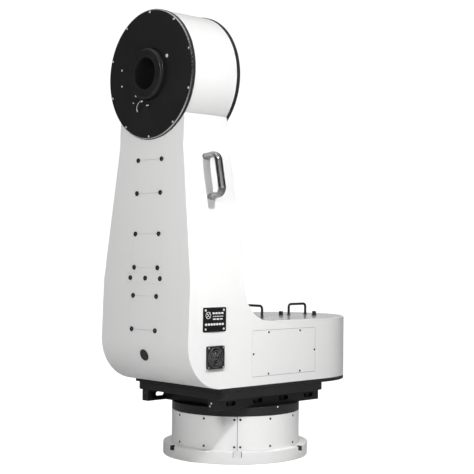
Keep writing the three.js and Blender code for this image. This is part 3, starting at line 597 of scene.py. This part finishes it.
RAIL_WIDTH = 34
CROSS_SPANS = ((-213, -123), (75, 165))  # the two cross members, along x
rail_half = rails_high.y
rail_in = rail_half - RAIL_WIDTH
low, high = rails_low.z, rails_high.z
bm = bmesh.new()
block(bm, rails_low.x, rails_high.x, rail_in, rail_half, low, high)
rails = to_object("rails", bm)
others = [made(block, rails_low.x, rails_high.x, -rail_half, -rail_in, low, high)]
others += [made(block, x0, x1, -rail_in - 5, rail_in + 5, low, high) for x0, x1 in CROSS_SPANS]
carve(rails, *others, operation="UNION")
SLOTS = {"x": (-222, -82, 58, 198), "length": 50, "height": 17, "z": 229, "depth": 15}
OPEN_BACK = {"before": 56, "after": 17, "half": 15}  # relief behind the slot that has no bolt
seat = rail_half - SLOTS["depth"]
for x in SLOTS["x"]:
    r = SLOTS["height"] / 2
    reach = SLOTS["length"] / 2 - r
    outline = arc(x + reach, SLOTS["z"], r, -90, 90, 10) + arc(x - reach, SLOTS["z"], r, 90, 270, 10)
    carve(rails, made(prism, outline, -rail_half - 5, -seat, PLANE_Y),
          made(prism, outline, seat, rail_half + 5, PLANE_Y))
x = SLOTS["x"][0]
carve(rails, made(block, x - OPEN_BACK["before"], x + OPEN_BACK["after"], rail_in - 0.5, seat + 0.5,
                  SLOTS["z"] - OPEN_BACK["half"], SLOTS["z"] + OPEN_BACK["half"]))
piece(rails, "slotted_frame", "arm", black, edge=1.3, steps=2,
      replaces=["turntable_frame"])

bm = bmesh.new()
for side in (-1, 1):
    for x in SLOTS["x"]:
        if side == 1 and x == SLOTS["x"][0]:
            continue
        screw(bm, facing((x, side * seat, SLOTS["z"]), (0, side, 0)), 7.6, 8, "cap")
piece(to_object("screws", bm), "rail_slot_bolts", "arm", black_oxide)
# the far rail's end screws are given the dark finish and the near rail's the bright one
for side, name, finish in ((-1, "rail_end_screws_near", bright_screw),
                           (1, "rail_end_screws_far", black_oxide)):
    bm = bmesh.new()
    for dy, dz in ((0, 3), (7, -8)):
        at = (rails_low.x, side * (190 - dy), 232 + dz)
        screw(bm, facing(at, (-1, 0, 0)), 3.4, 2.2, "button")
    piece(to_object("screws", bm), name, "arm", finish)

DECK_CORNER = 38
deck = made(prism, rounded(deck_low.x, deck_high.x, deck_low.y, deck_high.y, DECK_CORNER, 16),
            deck_low.z, deck_high.z)
piece(deck, "deck_plate_machined", "arm", black, edge=1.2, steps=3,
      replaces=["deck_plate"])


def plan_outline(x0, inset, steps=72):
    half = BODY_HALF - inset
    return [(x0, half), (x0, -half)] + arc(BOX_END_CX, 0, half, -90, 90, steps)


pan = made(prism, plan_outline(pan_low.x, 0), pan_low.z, pan_high.z)
piece(pan, "pan_plate_profiled", "arm", black, edge=0.9, replaces=["pan_plate"])


# ------------------------------------------------------------------ painted body
def side_outline(inset, top):
    hx, hz, hr = HEEL
    tx, tz, tr = THROAT
    points = [(outer_x(top) + inset, top)]
    points += arc(hx, hz, hr - inset, 180, 270, 30)
    points += [(BOX_END_CX + BODY_HALF + 5, PAN_TOP + inset), (BOX_END_CX + BODY_HALF + 5, BOX_TOP - inset)]
    points += arc(tx, tz, tr + inset, 270, 180, 30)
    points += [(inner_x(SHOULDER) - inset, SHOULDER), (NECK_X - inset, NECK_LOW), (NECK_X - inset, top)]
    return points


def front_outline(inset, top):
    wide, narrow = BODY_HALF - inset, NECK_HALF - inset
    return [(-wide, 0), (wide, 0), (wide, TAPER_LOW), (narrow, TAPER_HIGH), (narrow, top + 1),
            (-narrow, top + 1), (-narrow, TAPER_HIGH), (-wide, TAPER_LOW)]


def body_solid(inset, top=HEAD_Z):
    reach = BODY_HALF + 10
    solid = made(prism, side_outline(inset, top), -reach, reach, PLANE_Y)
    front = made(prism, front_outline(inset, top), -500, 520, PLANE_X)
    plan = made(prism, plan_outline(-500, inset), 200, top + 1)
    return carve(solid, front, plan, operation="INTERSECT")


def leaning_slab(half, z0, z1, start, end):
    outline = [(outer_x(z0) + start, z0), (outer_x(z0) + end, z0), (outer_x(z1) + end, z1),
               (outer_x(z1) + start, z1)]
    return made(prism, outline, -half, half, PLANE_Y)


def rod_x(r, x0, x1, segments=192):
    return made(lathe, [(0, x0), (r, x0), (r, x1), (0, x1)], segments, AXIS_X, closed=False)


PANEL_LEDGE, REAR_LEDGE, LID_LEDGE = 10, 8, 10
REAR_HALF = 82
COVER_GAP, COVER_END_GAP = 0.4, 0.9
REAR_SPANS = {name: (node_box(name)[0].z, node_box(name)[1].z)
              for name in ("rear_cover_upper", "rear_cover_middle", "rear_cover_lower")}
STRIP_HALF = strip_high.y
FAN_X, FAN_Z = middle("fan_guard").x, middle("fan_guard").z
FAN_HOLE = 37
PLUG_DROP = 50
plug_angle = math.asin(PLUG_DROP / HEEL[2])
plug_out = Vector((-math.cos(plug_angle), 0, -math.sin(plug_angle)))
plug_seat = Vector((HEEL[0], 0, HEEL[1])) + plug_out * HEEL[2]

shell = soften(body_solid(0), 2.2, steps=3, angle=30)
carve(shell, body_solid(SHELL, HEAD_Z + 5))
carve(shell, made(block, -520, 520, -260, 260, PAN_TOP - 60, PAN_TOP + FIT))
carve(shell, made(prism, plan_outline(HEEL[0] + 10, 22), PAN_TOP - 1, PAN_TOP + SHELL + 1))
carve(shell, rod_x(HEAD_R + FIT, -520, 0), rod_x(DISC_R + FIT, -520, disc_high.x + FIT),
      rod_x(DISC_R + RUN, plate_low.x - RUN, 0))
carve(shell, made(prism, arc(FAN_X, FAN_Z, FAN_HOLE + 3, 0, 354, 59), -BODY_HALF - 1,
                  -BODY_HALF + SHELL + 1, PLANE_Y))
carve(shell, made(lathe, [(0, -12), (18, -12), (18, 4), (0, 4)], 32, facing(plug_seat, plug_out),
                  closed=False))
carve(shell, made(prism, plan_outline(lid_low.x - COVER_GAP, SHELL - COVER_GAP), lid_low.z - FIT,
                  BOX_TOP + 1))
carve(shell, made(prism, plan_outline(lid_low.x + LID_LEDGE, SHELL + LID_LEDGE),
                  BOX_TOP - SHELL - 1, BOX_TOP))
px0, px1, pz0, pz1 = panel_low.x, panel_high.x, panel_low.z, panel_high.z
PANEL_GAP, PANEL_CORNER = 1.2, 3


def panel_outline(grow):
    """The access panel's outline, grown by this much on every side."""
    return rounded(px0 - grow, px1 + grow, pz0 - grow, pz1 + grow, PANEL_CORNER + grow)


carve(shell, made(prism, panel_outline(PANEL_GAP), -BODY_HALF - 1, panel_high.y + FIT, PLANE_Y),
      made(block, px0 + PANEL_LEDGE, px1 - PANEL_LEDGE, pz0 + PANEL_LEDGE, pz1 - PANEL_LEDGE,
           -BODY_HALF, -BODY_HALF + SHELL + 1, PLANE_Y))
for z0, z1 in REAR_SPANS.values():
    carve(shell, leaning_slab(REAR_HALF + COVER_GAP, z0 - COVER_END_GAP, z1 + COVER_END_GAP,
                              -OVER, COVER + FIT),
          leaning_slab(REAR_HALF - REAR_LEDGE, z0 + REAR_LEDGE, z1 - REAR_LEDGE, -OVER, SHELL + OVER))
carve(shell, leaning_slab(STRIP_HALF + COVER_GAP, strip_low.z - COVER_GAP, strip_high.z + COVER_GAP,
                          -OVER, COVER + FIT),
      leaning_slab(STRIP_HALF - REAR_LEDGE, strip_low.z + REAR_LEDGE, strip_high.z - REAR_LEDGE,
                   -OVER, SHELL + OVER))
piece(shell, "body_shell_painted", "arm", white, edge=0.35, steps=1, smooth=45,
      replaces=["body_shell"])

for node, (z0, z1) in REAR_SPANS.items():
    cover = leaning_slab(REAR_HALF, z0, z1, 0, COVER)
    piece(cover, node + "_plate", "arm", white, edge=0.35, steps=2, replaces=[node])
strip = leaning_slab(STRIP_HALF, strip_low.z, strip_high.z, 0, COVER)
piece(strip, "rear_strip_plate", "arm", white, edge=0.35, steps=2,
      replaces=["rear_strip"])

# screws on the outer face
outward = Vector((-1, 0, OUTER_LEAN)).normalized()
outer_screws = [(y, z) for z in (1125, 1002, 851.5, 728, 624, 500) for y in (-67, 67)]
outer_screws += [(y, 689) for y in (-84, 0, 87)]
bm = bmesh.new()
for y, z in outer_screws:
    screw(bm, facing((outer_x(z), y, z), outward), 9, 4.6, "cap")
piece(to_object("screws", bm), "outer_face_screws", "arm", black_oxide, edge=0.3)
# a pale stainless disc at the bottom of each socket: painted highlight for the glint in the socket
bm = bmesh.new()
for y, z in outer_screws:
    lathe(bm, [(0, 0.4), (2.2, 0.4), (2.2, 1.9), (0, 1.9)], 20, facing((outer_x(z), y, z), outward),
          closed=False)
piece(to_object("socket_glints", bm), "outer_face_socket_glints", "arm", stainless)

panel = made(prism, panel_outline(0), panel_low.y, panel_high.y, PLANE_Y)
piece(panel, "access_panel_sheet", "arm", white, edge=0.4, steps=2,
      replaces=["access_panel"])
# a dark strip lies at the bottom of the gap round the panel: painted shade for the dark gap
GAP_SHADE_ROOM, GAP_SHADE_SUNK = 0.1, 1
panel_gap_shade = made(prism, panel_outline(PANEL_GAP - GAP_SHADE_ROOM), panel_low.y + GAP_SHADE_SUNK, panel_high.y, PLANE_Y)
carve(panel_gap_shade, made(prism, panel_outline(GAP_SHADE_ROOM), panel_low.y - OVER, panel_high.y + OVER, PLANE_Y))
piece(panel_gap_shade, "access_panel_gap_shade", "arm", rubber, smooth=20)
bm = bmesh.new()
for x, z in ((-68, 488), (103.5, 488), (px0 + 7, 410), (px1 - 4, 410), (-69, 333), (103, 333)):
    screw(bm, facing((x, -BODY_HALF, z), (0, -1, 0)), 4.2, 2.0, "button")
piece(to_object("screws", bm), "access_panel_screws", "arm", black_oxide)

bm = bmesh.new()
lathe(bm, [(0, -8), (17, -8), (17, 0.6), (22, 0.8), (22, 2.6), (20.6, 4.0), (13, 4.4), (12, 3.4),
           (0, 3.2)], 48, facing(plug_seat, plug_out), closed=False)
for k in range(8):
    a = math.radians(45 * k)
    tip = facing(plug_seat, plug_out) @ Vector((16.8 * math.cos(a), 16.8 * math.sin(a), 3.9))
    screw(bm, facing(tip, plug_out), 1.6, 0.7, "button")
piece(to_object("plug", bm), "cable_plug_cap", "arm", rubber, edge=0.4,
      replaces=["cable_plug"])

# ------------------------------------------------------------------ lid and its furniture
knobs = {name: middle(name) for name in ("lid_knob_inner", "lid_knob_outer")}
lid = made(prism, plan_outline(lid_low.x, SHELL), lid_low.z, lid_high.z)
for name, centre in knobs.items():
    carve(lid, made(lathe, [(0, 500), (4.2, 500), (4.2, 560), (0, 560)], 24,
                    Matrix.Translation((centre.x, centre.y, 0)), closed=False))
piece(lid, "lid_plate", "arm", lid_grey, edge=0.5, steps=2, replaces=["top_lid"])

WIRE_R, WIRE_BEND, WIRE_HALF = 5, 12, 50
for node, along_x in (("lid_handle_outer", True), ("lid_handle_inner", False)):
    c, high_corner = middle(node), node_box(node)[1]
    step = Vector((WIRE_HALF, 0, 0)) if along_x else Vector((0, WIRE_HALF, 0))
    foot, top = Vector((c.x, c.y, BOX_TOP + FIT)), Vector((c.x, c.y, high_corner.z - WIRE_R))
    bm = bmesh.new()
    tube(bm, round_path([foot - step, top - step, top + step, foot + step], WIRE_BEND, 12), WIRE_R, 28)
    for at in (foot - step, foot + step):
        lathe(bm, [(WIRE_R, 0), (9, 0), (9, 1.2), (8, 2), (WIRE_R, 2)], 36, Matrix.Translation(at))
    piece(to_object("wire", bm), node + "_wire", "arm", black_wire,
          replaces=[node])


def knurl(k, angle):
    """Shallow grip flutes on the upper tier of a knob."""
    return 1 + (0.035 * math.cos(20 * angle) if k in (6, 7, 8) else 0)


for name, body in (("lid_knob_inner", "inner_knob"), ("lid_knob_outer", "outer_knob")):
    c = knobs[name]
    profile = [(0, -12), (3.2, -12), (3.2, 0.4), (9.4, 0.4), (9.8, 1.0), (9.6, 4.4), (7.6, 5.6),
               (7.9, 6.4), (7.9, 15), (7.2, 16.2), (5.2, 17), (0, 17)]
    knob = made(lathe, profile, 120, Matrix.Translation((c.x, c.y, BOX_TOP)), closed=False, shape=knurl)
    carve(knob, made(block, c.x - 1, c.x + 1, c.y - 10, c.y + 10, BOX_TOP + 15.2, BOX_TOP + 20))
    piece(knob, name + "_turned", body, black_wire, edge=0.25, replaces=[name])

# ------------------------------------------------------------------ grab handle
slope = (BODY_HALF - NECK_HALF) / (TAPER_HIGH - TAPER_LOW)
side_out = Vector((0, -1, slope)).normalized()
GRAB = {"x": -334, "z": (988, 1135), "half_wide": 17, "half_thick": 10.8, "standoff": 63,
        "bend": 27, "lean": -0.06}
GRAB_Z = sum(GRAB["z"]) / 2
feet = [Vector((0, -half_width(z), z)) for z in GRAB["z"]]
near_feet = [foot + side_out * FIT for foot in feet]
out_feet = [foot + side_out * GRAB["standoff"] for foot in feet]
bm = bmesh.new()
r = GRAB["half_thick"]
tube(bm, round_path([near_feet[0], out_feet[0], out_feet[1], near_feet[1]], GRAB["bend"], 20), r, 48)
for foot in near_feet:
    lathe(bm, [(r - 0.5, 0), (r + 1.0, 0), (r + 1.0, 1.4), (r + 0.4, 2.2), (r - 0.5, 2.2)], 48,
          facing(foot, side_out))
# oval section: the round bar widened along x, then leant about its middle
bm.transform(Matrix.Translation((GRAB["x"], 0, GRAB_Z)) @ Matrix.Rotation(GRAB["lean"], 4, "Y")
             @ Matrix.Diagonal((GRAB["half_wide"] / r, 1, 1, 1)) @ Matrix.Translation((0, 0, -GRAB_Z)))
piece(to_object("grab", bm), "grab_handle_tube", "arm", steel_tube,
      replaces=["grab_handle"])

# ------------------------------------------------------------------ nameplate, generic
nx0, nx1, nz0, nz1 = name_low.x, name_high.x, name_low.z, name_high.z
plate = made(prism, rounded(nx0, nx1, nz0, nz1, 5, 8), name_low.y, name_high.y, PLANE_Y)
piece(plate, "nameplate_blank", "arm", enamel, edge=0.4, replaces=["nameplate"])
bm = bmesh.new()
face_y = name_low.y
INK = 0.25
plate_wide, plate_tall = nx1 - nx0, nz1 - nz0
# rows of short bars: start and end across, height up, thickness, number of bars
for u0, u1, v, thick, count in ((0.40, 0.90, 0.76, 6.5, 4), (0.42, 0.88, 0.63, 3.0, 6),
                                (0.42, 0.88, 0.52, 5.0, 3), (0.08, 0.92, 0.31, 7.5, 7)):
    pitch = (u1 - u0) * plate_wide / count
    z = nz0 + v * plate_tall
    for k in range(count):
        a = nx0 + u0 * plate_wide + k * pitch
        prism(bm, rounded(a, a + 0.78 * pitch, z - thick / 2, z + thick / 2, 1.2, 3), face_y - INK,
              face_y + BITE, PLANE_Y)
emblem = Matrix.Translation((nx0 + 0.22 * plate_wide, face_y - INK, nz0 + 0.68 * plate_tall))
lathe(bm, [(10.5, 0), (12.5, 0), (12.5, INK + BITE), (10.5, INK + BITE)], 48,
      emblem @ Matrix.Rotation(-math.pi / 2, 4, "X"))
for spin in (45, 135):
    block(bm, -14, 14, 0, INK + BITE, -0.9, 0.9, emblem @ Matrix.Rotation(math.radians(spin), 4, "Y"))
piece(to_object("engraving", bm), "nameplate_engraving", "arm", engraved)
bm = bmesh.new()
for x in (nx0 + 12, nx1 - 12):
    for z in (nz0 + 10, nz1 - 10):
        screw(bm, facing((x, face_y + BITE, z), (0, -1, 0)), 4.4, 2.0, "button")
piece(to_object("screws", bm), "nameplate_screws", "arm", bright_screw)

# ------------------------------------------------------------------ fan guard
gx0, gx1, gz0, gz1 = guard_low.x, guard_high.x, guard_low.z, guard_high.z
GUARD_PROUD, GUARD_SCREW_R = 10, 49.5
front, back = -BODY_HALF - GUARD_PROUD, -BODY_HALF - FIT
guard = made(prism, rounded(gx0, gx1, gz0, gz1, 4.5, 8), front + 1.2, back, PLANE_Y)
carve(guard, made(prism, arc(FAN_X, FAN_Z, FAN_HOLE + 1, 0, 356, 89), front - 2, back + 2, PLANE_Y))
carve(guard, made(lathe, [(FAN_HOLE, 0), (FAN_HOLE + 2.7, 0), (FAN_HOLE + 2.7, SHELL + 4),
                          (FAN_HOLE, SHELL + 4)], 90,
                  Matrix.Translation((FAN_X, back - 4, FAN_Z)) @ Matrix.Rotation(-math.pi / 2, 4, "X")),
      operation="UNION")
piece(guard, "fan_bezel", "arm", plastic, edge=0.8, steps=2, replaces=["fan_guard"])
bm = bmesh.new()
for r in (7.5, 16.5, 25.5, 34.5):
    ring_path = [Vector((FAN_X + r * math.cos(a), front + 2.2, FAN_Z + r * math.sin(a)))
                 for a in (2 * math.pi * i / 72 for i in range(73))]
    tube(bm, ring_path, 1.25, 10)
guard_corners = [Vector((x, 0, z)) for x, z in arc(0, 0, 1, 45, 315, 3)]
for u in guard_corners:
    middle_point = Vector((FAN_X, front + 3.6, FAN_Z))
    corner_point = Vector((FAN_X, front + 2.4, FAN_Z)) + u * 46
    tube(bm, [middle_point + u * 5, middle_point + u * 36, corner_point], 1.3, 10)
    lathe(bm, [(2.2, -1), (4.6, -1), (4.6, 0.4), (2.2, 0.4)], 24,
          facing(Vector((FAN_X, front + 1.2, FAN_Z)) + u * GUARD_SCREW_R, (0, -1, 0)))
piece(to_object("grille", bm), "fan_grille", "arm", grille_grey)
bm = bmesh.new()
for u in guard_corners:
    at = Vector((FAN_X, front + 1.2 + BITE, FAN_Z)) + u * GUARD_SCREW_R
    screw(bm, facing(at, (0, -1, 0)), 3.3, 1.2, "button")
piece(to_object("screws", bm), "fan_guard_screws", "arm", stainless)

# ------------------------------------------------------------------ head
seam_z = HEAD_Z - math.sqrt(HEAD_R ** 2 - NECK_HALF ** 2) + FIT
head = made(lathe, [(HEAD_R - 4, head_low.x), (HEAD_R, head_low.x), (HEAD_R, head_high.x),
                    (HEAD_R - 4, head_high.x)], 256, AXIS_X)
carve(head, made(block, -520, 0, -260, 260, seam_z - 300, seam_z))
piece(head, "head_shell_painted", "arm", white, edge=0.8, steps=2,
      replaces=["head_shell"])

x_front, x_back = disc_low.x, disc_high.x
LIFT = 0.1  # the disc's screws stand this much off its face
hub_room = 96.5
front_disc = made(lathe, [(hub_room, x_back), (DISC_R, x_back), (DISC_R, x_front + 4.5),
                          (DISC_R - 1.2, x_front + 3.6), (DISC_R - 4.6, x_front), (hub_room, x_front)],
                  256, AXIS_X)
piece(front_disc, "front_disc_turned", "arm", black_turned, edge=0.5, steps=2,
      smooth=25, replaces=["front_disc"])

edge_band = made(lathe, [(DISC_R - 4.4, x_front - 0.05), (DISC_R - 1.0, x_front + 3.5),
                         (DISC_R - 1.6, x_front + 4.2), (DISC_R - 5.4, x_front + 0.6)], 256, AXIS_X)
piece(edge_band, "front_disc_bare_edge", "arm", bright_edge)



def round_axis(count, first, r):
    """(y, z) places spaced evenly round the altitude axis, the first at an angle in degrees."""
    return arc(0, HEAD_Z, r, first, first + 360 * (count - 1) / count, count - 1)


bm = bmesh.new()
for y, z in round_axis(10, 90, 229.5):
    screw(bm, facing((x_front - LIFT, y, z), (-1, 0, 0)), 4.4, 1.6, "button")
for y, dz, r, height in ((-99, 57, 7, 3.5), (163, 31, 4, 1.8), (163, -30, 4, 1.8)):
    screw(bm, facing((x_front - LIFT, y, HEAD_Z + dz), (-1, 0, 0)), r, height, "button")
piece(to_object("screws", bm), "front_disc_screws", "arm", bright_screw)
bm = bmesh.new()
screw(bm, facing((x_front - LIFT, 50, HEAD_Z + 118), (-1, 0, 0)), 7, 1.4, "flat")
piece(to_object("screws", bm), "front_disc_blank_screw", "arm", black_oxide)

# the small clip under the hub, with a bent spring wire
clip_back = x_front - 0.2
bm = bmesh.new()
pad = arc(74, HEAD_Z - 78, 9, -20, 160, 10) + arc(39, HEAD_Z - 97, 9, 100, 230, 10)
pad += arc(64, HEAD_Z - 128, 9, 215, 320, 8) + arc(87, HEAD_Z - 100, 9, -60, 20, 8)
prism(bm, pad, clip_back - 3, clip_back, PLANE_X)
prism(bm, rounded(-8, 15, HEAD_Z - 119.5, HEAD_Z - 109.5, 4), clip_back - 3, clip_back, PLANE_X)
piece(to_object("clip", bm), "cable_clip_plate", "arm", black, edge=0.6,
      replaces=["cable_clip"])
bm = bmesh.new()
for y, dz, r in ((74, -75, 4), (39, -97, 4.4), (87, -100, 3), (64, -131, 3.8)):
    screw(bm, facing((clip_back - 3, y, HEAD_Z + dz), (-1, 0, 0)), r, 2.4, "button")
spring = [Vector((clip_back - 5.5, y, HEAD_Z + dz)) for y, dz in
          ((64, -131), (65.5, -122), (63, -112), (56, -103), (47, -98), (39, -97))]
tube(bm, spring, 1.3, 12)
prism(bm, rounded(-4.5, 11.5, HEAD_Z - 116.8, HEAD_Z - 112.2, 2.2, 4), clip_back - 5, clip_back - 3,
      PLANE_X)
piece(to_object("clip", bm), "cable_clip_hardware", "arm", bright_screw)

# ------------------------------------------------------------------ altitude group
nose_x, hub_back = hub_low.x, hub_high.x
hub = made(lathe, [(BORE_R, nose_x + 1.2), (BORE_R + 1.2, nose_x), (86.5, nose_x), (88, nose_x + 0.8),
                   (89.5, nose_x + 4.5), (93.2, nose_x + 7), (94, nose_x + 8), (94, hub_back),
                   (72.3, hub_back), (72.3, nose_x + 7.7), (BORE_R, nose_x + 7.7)], 192, AXIS_X)
piece(hub, "altitude_hub_turned", "altitude_group", black_turned, edge=0.5,
      steps=2, smooth=25, replaces=["altitude_hub"])
shaft = made(lathe, [(BORE_R, shaft_low.x), (72, shaft_low.x), (72, x_back), (85, x_back),
                     (85, shaft_high.x), (BORE_R, shaft_high.x)], 128, AXIS_X)
piece(shaft, "altitude_shaft_bored", "altitude_group", black, edge=0.8,
      replaces=["altitude_shaft"])
bm = bmesh.new()
for y, z in round_axis(8, 10, 74):
    screw(bm, facing((nose_x + BITE, y, z), (-1, 0, 0)), 3.4, BITE, "flat")
piece(to_object("screws", bm), "hub_screws", "altitude_group", black_oxide)

plate_disc = made(lathe, [(BORE_R, plate_low.x), (DISC_R, plate_low.x), (DISC_R, plate_high.x),
                          (BORE_R, plate_high.x)], 256, AXIS_X)
for y, z in round_axis(8, 22.5, 200):
    hole = made(lathe, [(0, plate_low.x - 1), (5, plate_low.x - 1), (5, plate_high.x + 1),
                        (0, plate_high.x + 1)], 24, Matrix.Translation((0, y, z)) @ PLANE_X,
                closed=False)
    carve(plate_disc, hole)
piece(plate_disc, "telescope_plate_turned", "altitude_group", black_turned,
      edge=1.2, steps=3, replaces=["altitude_plate"])
bm = bmesh.new()
CAP_HEIGHT = 6.2  # their tops lie level with the plate's face
for y, z in round_axis(12, 15, 78):
    screw(bm, facing((plate_high.x - CAP_HEIGHT, y, z), (1, 0, 0)), 5, CAP_HEIGHT, "cap")
piece(to_object("screws", bm), "telescope_plate_screws", "altitude_group",
      black_oxide)

# ------------------------------------------------------------------ stage
FLOOR_R, FLOOR_DROP = 60000, 0.2  # the floor lies a hair under the foot plate


def seen_or_not(tree, seen):
    """A value node's input and output: seen for rays from the camera, the input for all others."""
    path = tree.nodes.new("ShaderNodeLightPath")
    choice = tree.nodes.new("ShaderNodeMapRange")
    choice.inputs["To Min"].default_value = 0
    choice.inputs["To Max"].default_value = seen
    tree.links.new(path.outputs["Is Camera Ray"], choice.inputs["Value"])
    return choice.inputs["To Min"], choice.outputs["Result"]


bm = bmesh.new()
lathe(bm, [(0, 0), (FLOOR_R, 0)], 96, closed=False)
floor = to_object("floor", bm)
floor.location.z = -FLOOR_DROP * MM
floor_material = bpy.data.materials.new("pale_floor")
floor_material.use_nodes = True
shader = floor_material.node_tree.nodes["Principled BSDF"]
shader.inputs["Base Color"].default_value = (0.55, 0.55, 0.55, 1)
shader.inputs["Roughness"].default_value = 0.9
shader.inputs["Specular IOR Level"].default_value = 0.0
shader.inputs["Emission Color"].default_value = (1, 1, 1, 1)
# the camera sees a bright floor, and the object is lit by a plain grey one
glow = seen_or_not(floor_material.node_tree, 0.9)[1]
floor_material.node_tree.links.new(glow, shader.inputs["Emission Strength"])
floor.data.materials.append(floor_material)

world = bpy.data.worlds.new("studio")
world.use_nodes = True
bpy.context.scene.world = world
nodes, links = world.node_tree.nodes, world.node_tree.links
background = nodes["Background"]
background.inputs["Color"].default_value = (1, 1, 1, 1)
where = nodes.new("ShaderNodeTexCoord")
split = nodes.new("ShaderNodeSeparateXYZ")
height = nodes.new("ShaderNodeValToRGB")
links.new(where.outputs["Generated"], split.inputs[0])
links.new(split.outputs["Z"], height.inputs[0])
# the camera sees an even white backdrop, and the object is lit by a sky that is bright overhead
stops = height.color_ramp.elements
stops.new(0.5)
for stop, level in zip(stops, (0.06, 0.06, 0.83)):
    stop.color = (level, level, level, 1)
lighting, strength = seen_or_not(world.node_tree, 1.05)
links.new(height.outputs["Color"], lighting)
links.new(strength, background.inputs["Strength"])


def area_light(name, at, target, size, watts, spread=180, glossy=True, diffuse=True):
    data = bpy.data.lights.new(name, "AREA")
    data.shape = "RECTANGLE"
    data.size, data.size_y = size
    data.energy = watts
    data.spread = math.radians(spread)
    light = bpy.data.objects.new(name, data)
    light.location = at
    light.rotation_euler = (Vector(target) - Vector(at)).to_track_quat("-Z", "Y").to_euler()
    light.visible_camera = False
    light.visible_glossy, light.visible_diffuse = glossy, diffuse
    bpy.context.scene.collection.objects.link(light)


area_light("key", (-0.32, -1.70, 2.39), (-0.25, -0.25, 0.3), (0.07, 0.07), 8.0, spread=77)
area_light("head_softbox", (-1.15, -2.6, 1.4), (-0.3, 0, 1.2), (0.8, 0.8), 5.5, glossy=False)
area_light("left_softbox", (-2.4, -1.2, 1.6), (-0.3, 0, 1.2), (0.8, 0.8), 34, glossy=False)
area_light("top_softbox", (0.2, 0.2, 5.0), (0, 0, 0.5), (2.0, 2.0), 30)
area_light("back_softbox", (3.4, 3.5, 2.6), (0, 0, 0.6), (4.0, 1.6), 5)
area_light("side_card", (0.6, -5.0, 1.5), (0, 0, 1.0), (5.2, 1.8), 38, diffuse=False)
area_light("backdrop_card", (5.0, 5.2, 1.2), (0, 0, 0.6), (7.0, 2.4), 42, diffuse=False)

camera_data = bpy.data.cameras.new("camera")
camera = bpy.data.objects.new("camera", camera_data)
bpy.context.scene.collection.objects.link(camera)
camera_data.sensor_width, camera_data.lens = 36, 86.987
camera_data.clip_start, camera_data.clip_end = 0.05, 200
HEADING, PITCH, ROLL = (math.radians(degrees) for degrees in (46.2039, 0.7134, 0.4882))
quarter = math.pi / 2
camera.matrix_world = (Matrix.Translation((-3.1325, -3.2676, 0.7905))
                       @ Matrix.Rotation(HEADING - quarter, 4, "Z")
                       @ Matrix.Rotation(PITCH + quarter, 4, "X") @ Matrix.Rotation(ROLL, 4, "Z"))
bpy.context.scene.camera = camera
bpy.context.scene.view_settings.view_transform = "Standard"
